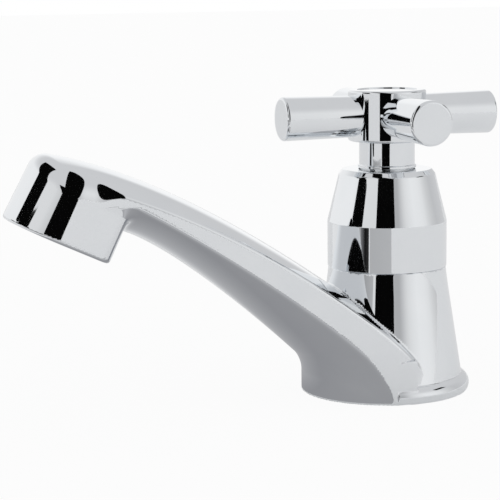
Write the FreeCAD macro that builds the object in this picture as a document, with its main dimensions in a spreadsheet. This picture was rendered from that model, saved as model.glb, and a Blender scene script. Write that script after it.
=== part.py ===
"""Pillar tap with a cross handle, for a wash basin.

Frame: +Z up, the origin at the centre of the base where it meets the deck, the
spout towards -Y. A rising spindle lifts the washer off its seat as the cross
handle is turned. All lengths are millimetres.
"""
import FreeCAD, Part
import math
import os
import re

import Sketcher
from FreeCAD import Placement, Rotation, Vector

# ---------------------------------------------------------------------------
# Driving dimensions
# ---------------------------------------------------------------------------

SIZES = {
    # base and column of the body casting
    "base_radius": 24.3,
    "bead_overhang": 1.7,
    "bead_height": 4.9,
    "bead_round": 3.1,
    "bead_end_reach": 6.0,
    "bead_root": 3.0,
    "column_radius": 17.95,
    "collar_height": 2.9,
    "joint_step": 0.27,
    "joint_height": 37.9,
    "spigot_step": 2.35,
    "spigot_length": 5.0,
    "plinth_lead": 2.1,
    "plinth_height": 13.0,
    # plan of the spout
    "nozzle_half_width": 14.5,
    "side_foot_inset": 0.55,
    "side_foot_reach": 8.0,
    "side_turn_inset": 0.45,
    "side_turn_reach": 2.2,
    "side_end_inset": 2.75,
    "side_end_reach": -3.5,
    # side view of the spout: its crown, both edges of its side band, its keel
    "crown_foot_reach": 15.0,
    "crown_foot_drop": 7.6,
    "crown_foot_angle": 36.1,
    "crown_foot_pull": 33.3,
    "crown_tip_lead": 4.0,
    "crown_tip_rise": 25.0,
    "crown_tip_angle": 10.1,
    "crown_tip_pull": 30.6,
    "edge_foot_reach": -4.0,
    "edge_foot_height": 8.1,
    "edge_foot_angle": 48.0,
    "edge_foot_pull": 27.0,
    "edge_tip_drop": 6.0,
    "edge_tip_angle": 10.1,
    "edge_tip_pull": 44.0,
    "band_foot_reach": 6.0,
    "band_foot_height": -0.9,
    "band_foot_angle": 88.0,
    "band_foot_pull": 17.1,
    "band_tip_setback": 12.0,
    "band_tip_rise": 13.7,
    "band_tip_angle": 14.2,
    "band_tip_pull": 9.3,
    "keel_foot_lead": 1.6,
    "keel_foot_height": 11.6,
    "keel_foot_angle": 43.7,
    "keel_foot_pull": 33.7,
    "keel_tip_setback": 18.0,
    "keel_tip_rise": 1.8,
    "keel_tip_angle": 12.5,
    "keel_tip_pull": 9.9,
    # nozzle
    "outlet_reach": 102.0,
    "outlet_height": 51.6,
    "nozzle_lean": 25.5,
    "nozzle_bulge": 2.5,
    "nozzle_rear": 16.4,
    "nozzle_corner": 3.5,
    "nozzle_blank_length": 36.0,
    "blade_setback": 12.5,
    "outlet_radius": 10.0,
    "plenum_step": 1.0,
    "plenum_depth": 7.2,
    "waterway_radius": 4.2,
    "waterway_foot_reach": 8.0,
    "waterway_foot_rise": 4.6,
    "waterway_tip_setback": 13.0,
    "waterway_tip_rise": 12.8,
    # flow straightener in the nozzle
    "insert_clearance": 0.1,
    "insert_wall": 1.7,
    "insert_lift": 1.8,
    "insert_length": 8.0,
    "grille_recess": 3.0,
    "grille_thickness": 2.0,
    "grille_hole_radius": 1.2,
    "grille_inner_ring": 3.4,
    "grille_margin": 0.5,
    "insert_groove_rise": 5.2,
    "insert_groove_width": 1.3,
    "insert_groove_depth": 0.8,
    # bores of the body casting
    "thread_radius": 10.4,
    "thread_pitch": 1.814,
    "thread_depth": 1.16,
    "thread_clearance": 0.05,
    "headwork_thread_length": 14.0,
    "chamber_step": 0.8,
    "seat_height": 14.0,
    "passage_radius": 6.0,
    "socket_depth": 8.3,
    # valve seat
    "seat_shoulder": 0.9,
    "seat_ring_depth": 4.7,
    "seat_bore_radius": 5.2,
    "lip_height": 1.0,
    "lip_width": 1.0,
    "lip_bevel": 0.3,
    "lip_lead": 0.4,
    "seal_gap": 0.05,
    # headwork
    "headwork_gasket_thickness": 1.0,
    "headwork_gasket_rim": 2.8,
    "headwork_hex_rim": 3.1,
    "headwork_hex_height": 6.0,
    "headwork_neck_length": 7.1,
    "headwork_neck_wall": 3.4,
    "headwork_barrel_length": 14.5,
    "headwork_step_rise": 4.1,
    "spindle_thread_radius": 6.0,
    "spindle_lift_room": 6.0,
    "spindle_stem_radius": 4.6,
    "running_clearance": 0.1,
    "body_clearance": 0.3,
    # spindle
    "stem_groove_depth": 1.4,
    "stem_groove_width": 1.7,
    "stem_groove_rise": 2.0,
    "stem_groove_pitch": 4.0,
    "spline_root_radius": 3.7,
    "spline_depth": 0.3,
    "spline_clearance": 0.05,
    "spline_overlap": 0.4,
    "spline_headroom": 0.2,
    "hub_gap": 0.5,
    "screw_hole_spare": 3.0,
    # jumper valve
    "washer_thickness": 3.0,
    "washer_overhang": 0.3,
    "jumper_plate_rim": 0.3,
    "jumper_plate_thickness": 2.5,
    "jumper_stem_radius": 3.0,
    "jumper_stem_length": 10.95,
    "jumper_headroom": 1.5,
    "jumper_stud_radius": 2.2,
    "washer_nut_radius": 4.4,
    "washer_nut_thickness": 2.4,
    "stud_overhang": 0.4,
    # shroud
    "shroud_skirt_length": 13.65,
    "shroud_taper_length": 14.2,
    "shroud_taper_depth": 3.5,
    "shroud_edge_height": 1.45,
    "shroud_edge_width": 1.15,
    "shroud_edge_round": 1.4,
    "shroud_wall": 1.75,
    "shroud_top_wall": 2.2,
    "shroud_shoulder_drop": 0.8,
    "shroud_hole_clearance": 0.4,
    "shroud_thread_clearance": 0.05,
    "shroud_thread_length": 5.5,
    "shroud_groove_rise": 2.1,
    "shroud_groove_width": 1.6,
    "shroud_groove_depth": 1.2,
    "bush_wall": 2.3,
    "bush_height": 2.0,
    "bush_collar_wall": 1.5,
    "bush_collar_height": 2.2,
    "bush_collar_step": 0.2,
    # handle
    "boss_radius": 8.1,
    "neck_step": 0.22,
    "skirt_lip": 0.43,
    "skirt_height": 1.0,
    "neck_length": 7.1,
    "hub_radius": 11.65,
    "hub_height": 15.3,
    "hub_round": 0.8,
    "hub_rim": 2.83,
    "hub_web": 4.0,
    "cap_recess": 2.5,
    "cap_clearance": 0.05,
    "cap_thickness": 2.2,
    "cap_round": 0.3,
    "plug_clearance": 0.1,
    "plug_wall": 0.8,
    "plug_length": 1.5,
    "screw_recess_radius": 4.5,
    "screw_recess_depth": 6.3,
    "arm_rise": 7.5,
    "arm_reach": 33.5,
    "arm_root_radius": 6.15,
    "arm_end_radius": 6.5,
    "arm_round": 0.9,
    "arm_sink": 2.65,
    "stud_radius": 2.5,
    "stud_depth": 5.45,
    "stud_clearance": 0.05,
    # handle screw
    "screw_radius": 2.0,
    "screw_hole_clearance": 0.2,
    "screw_length": 15.0,
    "screw_head_gap": 0.6,
    "screw_head_height": 3.0,
    "screw_socket_radius": 1.75,
    "screw_socket_depth": 1.8,
    "spring_washer_thickness": 0.8,
    # inlet tail and what clamps the tap to its deck
    "tail_length": 50.0,
    "tail_bore_radius": 6.5,
    "tail_seal_thickness": 1.0,
    "tail_chamfer": 1.0,
    "gasket_gap": 4.1,
    "gasket_inset": 3.3,
    "gasket_thickness": 1.2,
    "deck_thickness": 18.0,
    "back_washer_width": 6.6,
    "back_washer_thickness": 2.5,
    "back_washer_clearance": 0.4,
    "backnut_hex_rim": 3.5,
    "backnut_flange_rim": 5.1,
    "backnut_flange_height": 1.6,
    "backnut_height": 7.0,
    # how far a cutting tool runs past the face it opens
    "cut_overrun": 1.0,
}

# Radii, reaches and heights that follow from the sizes.
DERIVED = {
    # base, column and plan of the spout
    "foot_radius": "base_radius - bead_overhang",
    "plinth_reach": "base_radius + plinth_lead",
    "taper_top_height": "joint_height - collar_height",
    "spigot_radius": "column_radius - spigot_step",
    "spigot_top_height": "joint_height + spigot_length",
    "side_foot_half_width": "base_radius - side_foot_inset",
    "side_turn_half_width": "side_foot_half_width - side_turn_inset",
    "side_end_half_width": "side_foot_half_width - side_end_inset",
    # ends of the spout's rails
    "crown_foot_height": "joint_height - crown_foot_drop",
    "crown_tip_reach": "outlet_reach + crown_tip_lead",
    "crown_tip_height": "outlet_height + crown_tip_rise",
    "edge_tip_reach": "crown_tip_reach",
    "edge_tip_height": "crown_tip_height - edge_tip_drop",
    "band_tip_reach": "outlet_reach - band_tip_setback",
    "band_tip_height": "outlet_height + band_tip_rise",
    "keel_foot_reach": "plinth_reach + keel_foot_lead",
    "keel_tip_reach": "outlet_reach - keel_tip_setback",
    "keel_tip_height": "outlet_height + keel_tip_rise",
    # nozzle, outlet, waterway and flow straightener
    "nozzle_front": "nozzle_half_width + nozzle_bulge",
    "outlet_depth": "insert_lift + insert_length",
    "plenum_radius": "outlet_radius - plenum_step",
    "waterway_foot_height": "seat_height + waterway_foot_rise",
    "waterway_tip_reach": "outlet_reach - waterway_tip_setback",
    "waterway_tip_height": "outlet_height + waterway_tip_rise",
    "insert_radius": "outlet_radius - insert_clearance",
    "insert_inner_radius": "insert_radius - insert_wall",
    "insert_groove_radius": "insert_radius - insert_groove_depth",
    "insert_groove_lift": "insert_lift + insert_groove_rise",
    "grille_lift": "insert_lift + grille_recess",
    "grille_outer_ring": "insert_inner_radius - grille_margin - grille_hole_radius",
    # valve
    "threaded_bore_radius": "thread_radius + thread_clearance",
    "chamber_radius": "thread_radius - chamber_step",
    "lip_inner_radius": "seat_bore_radius + lip_lead",
    "lip_outer_radius": "lip_inner_radius + lip_width",
    "seat_ring_radius": "lip_outer_radius + seat_shoulder",
    "washer_radius": "lip_outer_radius + washer_overhang",
    "washer_bottom_height": "seat_height + lip_height + seal_gap",
    "washer_top_height": "washer_bottom_height + washer_thickness",
    "washer_nut_bottom_height": "washer_bottom_height - washer_nut_thickness",
    "jumper_plate_radius": "washer_radius + jumper_plate_rim",
    "jumper_plate_top_height": "washer_top_height + jumper_plate_thickness",
    "jumper_stem_top_height": "jumper_plate_top_height + jumper_stem_length",
    "jumper_bore_radius": "jumper_stem_radius + body_clearance",
    "jumper_bore_top_height": "jumper_stem_top_height + jumper_headroom",
    # headwork and spindle
    "headwork_gasket_radius": "thread_radius + headwork_gasket_rim",
    "headwork_hex_radius": "thread_radius + headwork_hex_rim",
    "headwork_neck_radius": "spindle_stem_radius + headwork_neck_wall",
    "headwork_hex_bottom_height": "spigot_top_height + headwork_gasket_thickness",
    "headwork_bottom_height": "headwork_hex_bottom_height - headwork_barrel_length",
    "headwork_step_height": "joint_height + headwork_step_rise",
    "headwork_top_height": "headwork_hex_bottom_height + headwork_hex_height + headwork_neck_length",
    "spindle_bore_radius": "spindle_thread_radius + running_clearance",
    "stem_bore_radius": "spindle_stem_radius + running_clearance",
    "spindle_bottom_height": "jumper_plate_top_height + body_clearance",
    "spindle_thread_top_height": "headwork_step_height - spindle_lift_room",
    "lower_groove_height": "headwork_step_height + stem_groove_rise",
    "upper_groove_height": "lower_groove_height + stem_groove_pitch",
    "stem_groove_radius": "spindle_stem_radius - stem_groove_depth",
    "stem_ring_section": "(stem_groove_depth + running_clearance / 2) / 2",
    "stem_ring_radius": "stem_groove_radius + stem_ring_section",
    "spline_start_height": "headwork_top_height + hub_gap",
    "spline_tip_radius": "spline_root_radius + spline_depth",
    "spindle_top_height": "screw_floor_height - hub_web - spline_headroom",
    "screw_hole_floor_height": "screw_seat_height - screw_length - screw_hole_spare",
    # shroud and bush
    "shroud_shoulder_height": "joint_height + shroud_skirt_length",
    "shroud_crown_height": "shroud_shoulder_height + shroud_taper_length",
    "shroud_crown_radius": "column_radius - shroud_taper_depth",
    "shroud_top_height": "shroud_crown_height + shroud_edge_height",
    "shroud_top_radius": "shroud_crown_radius - shroud_edge_width",
    "shroud_ceiling_height": "shroud_top_height - shroud_top_wall",
    "shroud_hole_radius": "boss_radius + shroud_hole_clearance",
    "shroud_bore_radius": "spigot_radius + shroud_thread_clearance",
    "shroud_inner_radius": "column_radius - shroud_wall",
    "shroud_thread_top_height": "joint_height + shroud_thread_length",
    "shroud_groove_height": "joint_height + shroud_groove_rise",
    "shroud_ring_section": "(shroud_groove_depth + shroud_thread_clearance) / 2",
    "bush_bore_radius": "boss_radius + running_clearance",
    "bush_radius": "bush_bore_radius + bush_wall",
    # handle
    "neck_radius": "boss_radius + neck_step",
    "skirt_radius": "neck_radius + skirt_lip",
    "skirt_bottom_height": "shroud_top_height + body_clearance",
    "skirt_top_height": "skirt_bottom_height + skirt_height",
    "hub_bottom_height": "skirt_top_height + neck_length",
    "hub_top_height": "hub_bottom_height + hub_height",
    "arm_height": "hub_bottom_height + arm_rise",
    "arm_root_reach": "hub_radius - arm_sink",
    "stud_root_reach": "hub_radius - stud_depth",
    "spline_bore_radius": "spline_root_radius + spline_clearance",
    "spline_bore_top_height": "spindle_top_height + spline_headroom",
    "cap_seat_height": "hub_top_height - cap_recess",
    "cap_radius": "hub_radius - hub_rim",
    "cap_bore_radius": "cap_radius + cap_clearance",
    "plug_radius": "screw_recess_radius - plug_clearance",
    "plug_bore_radius": "plug_radius - plug_wall",
    "screw_floor_height": "cap_seat_height - screw_recess_depth",
    "screw_seat_height": "screw_floor_height + spring_washer_thickness",
    "screw_clearance_radius": "screw_radius + screw_hole_clearance",
    "screw_bore_radius": "screw_radius + thread_clearance",
    "screw_head_radius": "screw_recess_radius - screw_head_gap",
    # inlet tail and clamp
    "tail_top_height": "socket_depth - tail_seal_thickness",
    "thread_root_radius": "thread_radius - thread_depth",
    "gasket_inner_radius": "thread_radius + gasket_gap",
    "gasket_outer_radius": "base_radius - gasket_inset",
    "back_washer_radius": "thread_radius + back_washer_width",
    "back_washer_bore_radius": "thread_radius + back_washer_clearance",
    "backnut_hex_radius": "thread_radius + backnut_hex_rim",
    "backnut_flange_radius": "thread_radius + backnut_flange_rim",
    "backnut_bottom_height": "-deck_thickness - back_washer_thickness - backnut_height",
}

SPLINE_TEETH = 20
GRILLE_INNER_HOLES = 6
GRILLE_OUTER_HOLES = 12
ARM_NAMES = ("arm_right", "arm_back", "arm_left", "arm_front")
SPOUT_SECTIONS = 9
FOOT_CROWDING = 1.4
SIDE_MARGIN = 2.0
TOP_MARGIN = 10.0
BELOW_DECK = -40.0
SHEET_NAME = "sizes"

os.makedirs("parts", exist_ok=True)
doc = FreeCAD.newDocument("cross_handle_tap")
sheet = doc.addObject("Spreadsheet::Sheet", SHEET_NAME)
for row, (alias, value) in enumerate(SIZES.items(), start=1):
    sheet.set("A%d" % row, alias)
    sheet.set("B%d" % row, str(value))
    sheet.setAlias("B%d" % row, alias)
doc.recompute()

nodes = []


def expanded(expression):
    """Return the expression with every derived name written out in sizes."""
    def written_out(match):
        word = match.group(0)
        return "(%s)" % expanded(DERIVED[word]) if word in DERIVED else word
    return re.sub(r"[a-z][a-z_]+", written_out, expression)


def bound(expression):
    """Return the expression with every size named through the sheet."""
    def named(match):
        word = match.group(0)
        return "%s.%s" % (SHEET_NAME, word) if word in SIZES else word
    return re.sub(r"[a-z][a-z_]+", named, expanded(expression))


def number(expression):
    """Return what an expression of sizes is worth, in millimetres or degrees."""
    return float(sheet.evalExpression(expanded(expression)))


def node(feature, label):
    """Give a finished sub-part its name and put it on the list of nodes."""
    feature.Label = label
    nodes.append(feature)
    return feature


def raised(feature, height):
    """Stand a feature at a height written in sizes, or leave it at the origin."""
    if height is not None:
        feature.setExpression("Placement.Base.z", bound(height))
    return feature


# ---------------------------------------------------------------------------
# Ways of making a piece
# ---------------------------------------------------------------------------

def outlined(body, name, outline):
    """Draw a closed outline of (radius, height) corners in a body's upright plane.

    The corners run anticlockwise. A corner with a third value starts a round
    stretch of that radius, bulging outwards.
    """
    sketch = body.newObject("Sketcher::SketchObject", name + "_outline")
    upright = [plane for plane in body.Origin.OriginFeatures if plane.Role == "XZ_Plane"]
    sketch.AttachmentSupport = [(upright[0], "")]
    sketch.MapMode = "FlatFace"
    corners = [Vector(number(corner[0]), number(corner[1]), 0) for corner in outline]
    count = len(outline)
    for index, corner in enumerate(outline):
        start = corners[index]
        end = corners[(index + 1) % count]
        if len(corner) == 3:
            sketch.addGeometry(rounded(start, end, number(corner[2])))
        else:
            sketch.addGeometry(Part.LineSegment(start, end))
    for index in range(count):
        following = (index + 1) % count
        sketch.addConstraint(Sketcher.Constraint("Coincident", index, 2, following, 1))
    for index, corner in enumerate(outline):
        place(sketch, "DistanceX", index, corner[0], corners[index].x)
        place(sketch, "DistanceY", index, corner[1], corners[index].y)
        if len(corner) == 3:
            radius = Sketcher.Constraint("Radius", index, number(corner[2]))
            added = sketch.addConstraint(radius)
            sketch.setExpression("Constraints[%d]" % added, bound(corner[2]))
    return sketch


def turned(name, outline, seat=None):
    """Turn an outline, its heights counted from the seat, about an upright axis."""
    body = doc.addObject("PartDesign::Body", name)
    sketch = outlined(body, name, outline)
    turning = body.newObject("PartDesign::Revolution", name + "_turning")
    turning.Profile = sketch
    turning.ReferenceAxis = (sketch, ["V_Axis"])
    turning.Angle = 360
    return raised(body, seat)


def place(sketch, kind, index, expression, value):
    """Tie one coordinate of a corner to the sheet, or to the axis where it is zero."""
    if value == 0:
        axis = -2 if kind == "DistanceX" else -1
        sketch.addConstraint(Sketcher.Constraint("PointOnObject", index, 1, axis))
        return
    added = sketch.addConstraint(Sketcher.Constraint(kind, -1, 1, index, 1, value))
    sketch.setExpression("Constraints[%d]" % added, bound(expression))


def rounded(start, end, radius):
    """Return the outward arc of a given radius between two corners."""
    chord = end - start
    half = chord.Length / 2
    inward = Vector(-chord.y, chord.x, 0).normalize()
    centre = (start + end) / 2 + inward * math.sqrt(max(radius * radius - half * half, 0))
    first = math.atan2(start.y - centre.y, start.x - centre.x)
    last = math.atan2(end.y - centre.y, end.x - centre.x)
    if last < first:
        last += 2 * math.pi
    circle = Part.Circle(centre, Vector(0, 0, 1), radius)
    return Part.ArcOfCircle(circle, first, last)


def cylinder(name, radius, length, seat=None):
    """Make an upright cylinder whose sizes are tied to the sheet."""
    feature = doc.addObject("Part::Cylinder", name)
    feature.setExpression("Radius", bound(radius))
    feature.setExpression("Height", bound(length))
    return raised(feature, seat)


def hexagon(name, radius, length, seat):
    """Make an upright hexagonal prism measured across its corners."""
    feature = doc.addObject("Part::Prism", name)
    feature.Polygon = 6
    feature.setExpression("Circumradius", bound(radius))
    feature.setExpression("Height", bound(length))
    return raised(feature, seat)


def ring(name, centre_radius, section_radius, seat=None):
    """Make an O-ring about the upright axis."""
    feature = doc.addObject("Part::Torus", name)
    feature.setExpression("Radius1", bound(centre_radius))
    feature.setExpression("Radius2", bound(section_radius))
    return raised(feature, seat)


def shaped(name, shape):
    """Keep a shape that no single feature makes."""
    feature = doc.addObject("Part::Feature", name)
    feature.Shape = shape
    return feature


def joined(name, features):
    """Fuse several features into one solid."""
    fusion = doc.addObject("Part::MultiFuse", name)
    fusion.Shapes = features
    return fusion


def cut(name, base, tools):
    """Take one or more features away from a base."""
    difference = doc.addObject("Part::Cut", name)
    difference.Base = base
    difference.Tool = tools[0] if len(tools) == 1 else joined(name + "_tools", tools)
    return difference


# ---------------------------------------------------------------------------
# Spout: rails in the side view, a plan, and the nozzle block
# ---------------------------------------------------------------------------

def rail_height(rail, reach):
    """Return how high a rail of the side view runs at a distance from the axis.

    Between its foot and its tip a rail is a cubic Bezier curve that leaves each
    end at that end's angle; past either end it runs on straight.
    """
    foot_reach = number(rail + "_foot_reach")
    foot_height = number(rail + "_foot_height")
    foot_angle = math.radians(number(rail + "_foot_angle"))
    tip_reach = number(rail + "_tip_reach")
    tip_height = number(rail + "_tip_height")
    tip_angle = math.radians(number(rail + "_tip_angle"))
    if reach <= foot_reach:
        return foot_height + (reach - foot_reach) * math.tan(foot_angle)
    if reach >= tip_reach:
        return tip_height + (reach - tip_reach) * math.tan(tip_angle)
    foot_pull = number(rail + "_foot_pull")
    tip_pull = number(rail + "_tip_pull")
    reaches = (foot_reach, foot_reach + foot_pull * math.cos(foot_angle),
               tip_reach - tip_pull * math.cos(tip_angle), tip_reach)
    heights = (foot_height, foot_height + foot_pull * math.sin(foot_angle),
               tip_height - tip_pull * math.sin(tip_angle), tip_height)
    low, high = 0.0, 1.0
    for _ in range(50):
        middle = (low + high) / 2
        if bezier(reaches, middle) < reach:
            low = middle
        else:
            high = middle
    return bezier(heights, (low + high) / 2)


def bezier(points, share):
    """Return a cubic Bezier curve's value at a share of its way."""
    rest = 1 - share
    return (rest ** 3 * points[0] + 3 * rest * rest * share * points[1]
            + 3 * rest * share * share * points[2] + share ** 3 * points[3])


def half_width(reach):
    """Return half the spout's width in plan at a distance from the axis."""
    tip = number("nozzle_half_width")
    foot = number("side_foot_half_width")
    share = (reach - number("side_foot_reach")) / (nozzle_rear_reach() - number("side_foot_reach"))
    return max(tip, foot + (tip - foot) * share)


def nozzle_rear_reach():
    """Return how far out the spout's sides become parallel."""
    return number("outlet_reach - nozzle_rear * cos(nozzle_lean)")


def bowed_section(reach, middle_rail, side_rail):
    """Return a closed upright section with a bowed top and a level floor.

    The bow is a parabola from a side rail over the middle rail to the other
    side, run on a little past the spout's sides.
    """
    middle_height = rail_height(middle_rail, reach)
    side_height = rail_height(side_rail, reach)
    span = half_width(reach)
    chord = span + SIDE_MARGIN
    chord_height = middle_height + (side_height - middle_height) * (chord / span) ** 2
    left = Vector(-chord, -reach, chord_height)
    pole = Vector(0, -reach, 2 * middle_height - chord_height)
    right = Vector(chord, -reach, chord_height)
    floor_left = Vector(-chord, -reach, BELOW_DECK)
    floor_right = Vector(chord, -reach, BELOW_DECK)
    bow = Part.BezierCurve()
    bow.setPoles([left, pole, right])
    return Part.Wire([bow.toShape(),
                      Part.LineSegment(right, floor_right).toShape(),
                      Part.LineSegment(floor_right, floor_left).toShape(),
                      Part.LineSegment(floor_left, left).toShape()])


def lofted(middle_rail, side_rail, first, last, crowding=1.0):
    """Return the loft under two rails, its sections crowded towards the first reach."""
    shares = [(index / (SPOUT_SECTIONS - 1)) ** crowding for index in range(SPOUT_SECTIONS)]
    sections = [bowed_section(first + (last - first) * share, middle_rail, side_rail)
                for share in shares]
    return Part.makeLoft(sections, True)


def roof():
    """Return everything under the spout's bowed top surface."""
    first = number("side_end_reach") - SIDE_MARGIN
    last = number("outlet_reach + nozzle_front") + SIDE_MARGIN
    return lofted("crown", "edge", first, last)


def undercut():
    """Return everything under the spout's hull-shaped underside."""
    first = number("band_foot_reach + cut_overrun")
    last = number("outlet_reach - blade_setback + nozzle_rear / 2")
    return lofted("keel", "band", first, last, FOOT_CROWDING)


def prism(edges, direction):
    """Push a closed flat outline along a direction into a solid."""
    return Part.Face(Part.Wire(edges)).extrude(direction)


def plan():
    """Return the spout's plan, pushed up past its highest point."""
    def mirrored(point):
        return Vector(-point.x, point.y, point.z)
    tip = Vector(number("nozzle_half_width"), -nozzle_rear_reach(), 0)
    far = Vector(tip.x, -number("crown_tip_reach"), 0)
    foot = Vector(number("side_foot_half_width"), -number("side_foot_reach"), 0)
    turn = Vector(number("side_turn_half_width"), -number("side_turn_reach"), 0)
    end = Vector(number("side_end_half_width"), -number("side_end_reach"), 0)
    edges = [Part.LineSegment(far, tip).toShape(),
             Part.LineSegment(tip, foot).toShape(),
             Part.Arc(foot, turn, end).toShape(),
             Part.LineSegment(end, mirrored(end)).toShape(),
             Part.Arc(mirrored(end), mirrored(turn), mirrored(foot)).toShape(),
             Part.LineSegment(mirrored(foot), mirrored(tip)).toShape(),
             Part.LineSegment(mirrored(tip), mirrored(far)).toShape(),
             Part.LineSegment(mirrored(far), far).toShape()]
    return prism(edges, Vector(0, 0, number("crown_tip_height") + TOP_MARGIN))


def nozzle_placement():
    """Return the place of the outlet, whose own +Z runs up into the nozzle."""
    centre = Vector(0, -number("outlet_reach"), number("outlet_height"))
    return Placement(centre, Rotation(Vector(1, 0, 0), -number("nozzle_lean")))


def nozzle_block(roof_shape):
    """Return the leaning nozzle: half an ellipse in front, round corners behind."""
    wide = number("nozzle_half_width")
    front = number("nozzle_front")
    rear = number("nozzle_rear")
    corner = number("nozzle_corner")
    ellipse = Part.Ellipse(Vector(0, -front, 0), Vector(wide, 0, 0), Vector(0, 0, 0))
    slant = corner * (1 - math.sqrt(0.5))
    edges = [Part.ArcOfEllipse(ellipse, -math.pi / 2, math.pi / 2).toShape()]
    for side in (-1, 1):
        low = Vector(side * wide, 0, 0)
        high = Vector(side * wide, rear - corner, 0)
        bend = Vector(side * (wide - slant), rear - slant, 0)
        back = Vector(side * (wide - corner), rear, 0)
        edges.append(Part.LineSegment(low, high).toShape())
        edges.append(Part.Arc(high, bend, back).toShape())
    rear_left = Vector(corner - wide, rear, 0)
    rear_right = Vector(wide - corner, rear, 0)
    edges.append(Part.LineSegment(rear_left, rear_right).toShape())
    block = prism(Part.__sortEdges__(edges), Vector(0, 0, number("nozzle_blank_length")))
    block.Placement = nozzle_placement()
    return block.common(roof_shape)


def spout():
    """Return the blade of the spout with its nozzle, before any bore."""
    roof_shape = roof()
    blade = roof_shape.common(plan()).cut(undercut())
    wide = number("side_foot_half_width") + SIDE_MARGIN
    end = number("outlet_reach - blade_setback")
    tall = number("crown_tip_height") + TOP_MARGIN
    behind = Part.makeBox(2 * wide, end + wide, tall, Vector(-wide, -end, 0))
    return blade.common(behind).fuse(nozzle_block(roof_shape))


def plinth():
    """Return the base's front, half an ellipse in plan."""
    reach = number("plinth_reach")
    wide = number("base_radius")
    ellipse = Part.Ellipse(Vector(0, -reach, 0), Vector(wide, 0, 0), Vector(0, 0, 0))
    edges = [Part.ArcOfEllipse(ellipse, -math.pi / 2, math.pi / 2).toShape(),
             Part.LineSegment(Vector(-wide, 0, 0), Vector(wide, 0, 0)).toShape()]
    return prism(Part.__sortEdges__(edges), Vector(0, 0, number("plinth_height")))


# ---------------------------------------------------------------------------
# Tap body: one brass casting
# ---------------------------------------------------------------------------

column = turned("column", [
    ("0", "0"),
    ("foot_radius", "0"),
    ("foot_radius", "bead_height"),
    ("column_radius", "taper_top_height"),
    ("column_radius - joint_step", "joint_height"),
    ("spigot_radius", "joint_height"),
    ("spigot_radius", "shroud_groove_height"),
    ("spigot_radius - shroud_groove_depth", "shroud_groove_height"),
    ("spigot_radius - shroud_groove_depth", "shroud_groove_height + shroud_groove_width"),
    ("spigot_radius", "shroud_groove_height + shroud_groove_width"),
    ("spigot_radius", "spigot_top_height"),
    ("0", "spigot_top_height"),
])

bead_whole = turned("bead_whole", [
    ("foot_radius - bead_root", "0"),
    ("base_radius", "0", "bead_round"),
    ("foot_radius", "bead_height"),
    ("foot_radius - bead_root", "bead_height"),
])
bead_trim = doc.addObject("Part::Box", "bead_trim")
bead_trim.setExpression("Length", bound("2 * (base_radius + cut_overrun)"))
bead_trim.setExpression("Width", bound("base_radius + cut_overrun"))
bead_trim.setExpression("Height", bound("bead_height + 2 * cut_overrun"))
bead_trim.setExpression("Placement.Base.x", bound("-base_radius - cut_overrun"))
bead_trim.setExpression("Placement.Base.y", bound("-base_radius - cut_overrun - bead_end_reach"))
bead_trim.setExpression("Placement.Base.z", bound("-cut_overrun"))
bead = cut("bead", bead_whole, [bead_trim])

casting = joined("casting", [column, bead, shaped("plinth", plinth()), shaped("spout", spout())])

bore = turned("bore", [
    ("0", "-cut_overrun"),
    ("threaded_bore_radius", "-cut_overrun"),
    ("threaded_bore_radius", "socket_depth"),
    ("passage_radius", "socket_depth"),
    ("passage_radius", "seat_height - seat_ring_depth"),
    ("seat_ring_radius", "seat_height - seat_ring_depth"),
    ("seat_ring_radius", "seat_height"),
    ("chamber_radius", "seat_height"),
    ("chamber_radius", "spigot_top_height - headwork_thread_length"),
    ("threaded_bore_radius", "spigot_top_height - headwork_thread_length"),
    ("threaded_bore_radius", "spigot_top_height + cut_overrun"),
    ("0", "spigot_top_height + cut_overrun"),
])

gasket_groove = turned("gasket_groove", [
    ("gasket_inner_radius", "-cut_overrun"),
    ("gasket_outer_radius", "-cut_overrun"),
    ("gasket_outer_radius", "gasket_thickness"),
    ("gasket_inner_radius", "gasket_thickness"),
])

outlet_bore = turned("outlet_bore", [
    ("0", "-cut_overrun"),
    ("outlet_radius", "-cut_overrun"),
    ("outlet_radius", "outlet_depth"),
    ("plenum_radius", "outlet_depth"),
    ("plenum_radius", "outlet_depth + plenum_depth"),
    ("0", "outlet_depth + plenum_depth"),
])
outlet_bore.Placement = nozzle_placement()

waterway_foot = Vector(0, -number("waterway_foot_reach"), number("waterway_foot_height"))
waterway_tip = Vector(0, -number("waterway_tip_reach"), number("waterway_tip_height"))
waterway_run = waterway_tip - waterway_foot
waterway_length = ("sqrt((waterway_tip_reach - waterway_foot_reach) ^ 2"
                   " + (waterway_tip_height - waterway_foot_height) ^ 2)")
waterway = cylinder("waterway", "waterway_radius", waterway_length)
waterway.Placement = Placement(waterway_foot, Rotation(Vector(0, 0, 1), waterway_run))

tap_body = node(cut("tap_body", casting, [bore, gasket_groove, outlet_bore, waterway]), "tap_body")

# ---------------------------------------------------------------------------
# Inlet tail and the parts that clamp the tap to a deck
# ---------------------------------------------------------------------------

inlet_tail = turned("inlet_tail", [
    ("tail_bore_radius", "-tail_length"),
    ("thread_radius - tail_chamfer", "-tail_length"),
    ("thread_radius", "tail_chamfer - tail_length"),
    ("thread_radius", "tail_top_height"),
    ("tail_bore_radius", "tail_top_height"),
])
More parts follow.
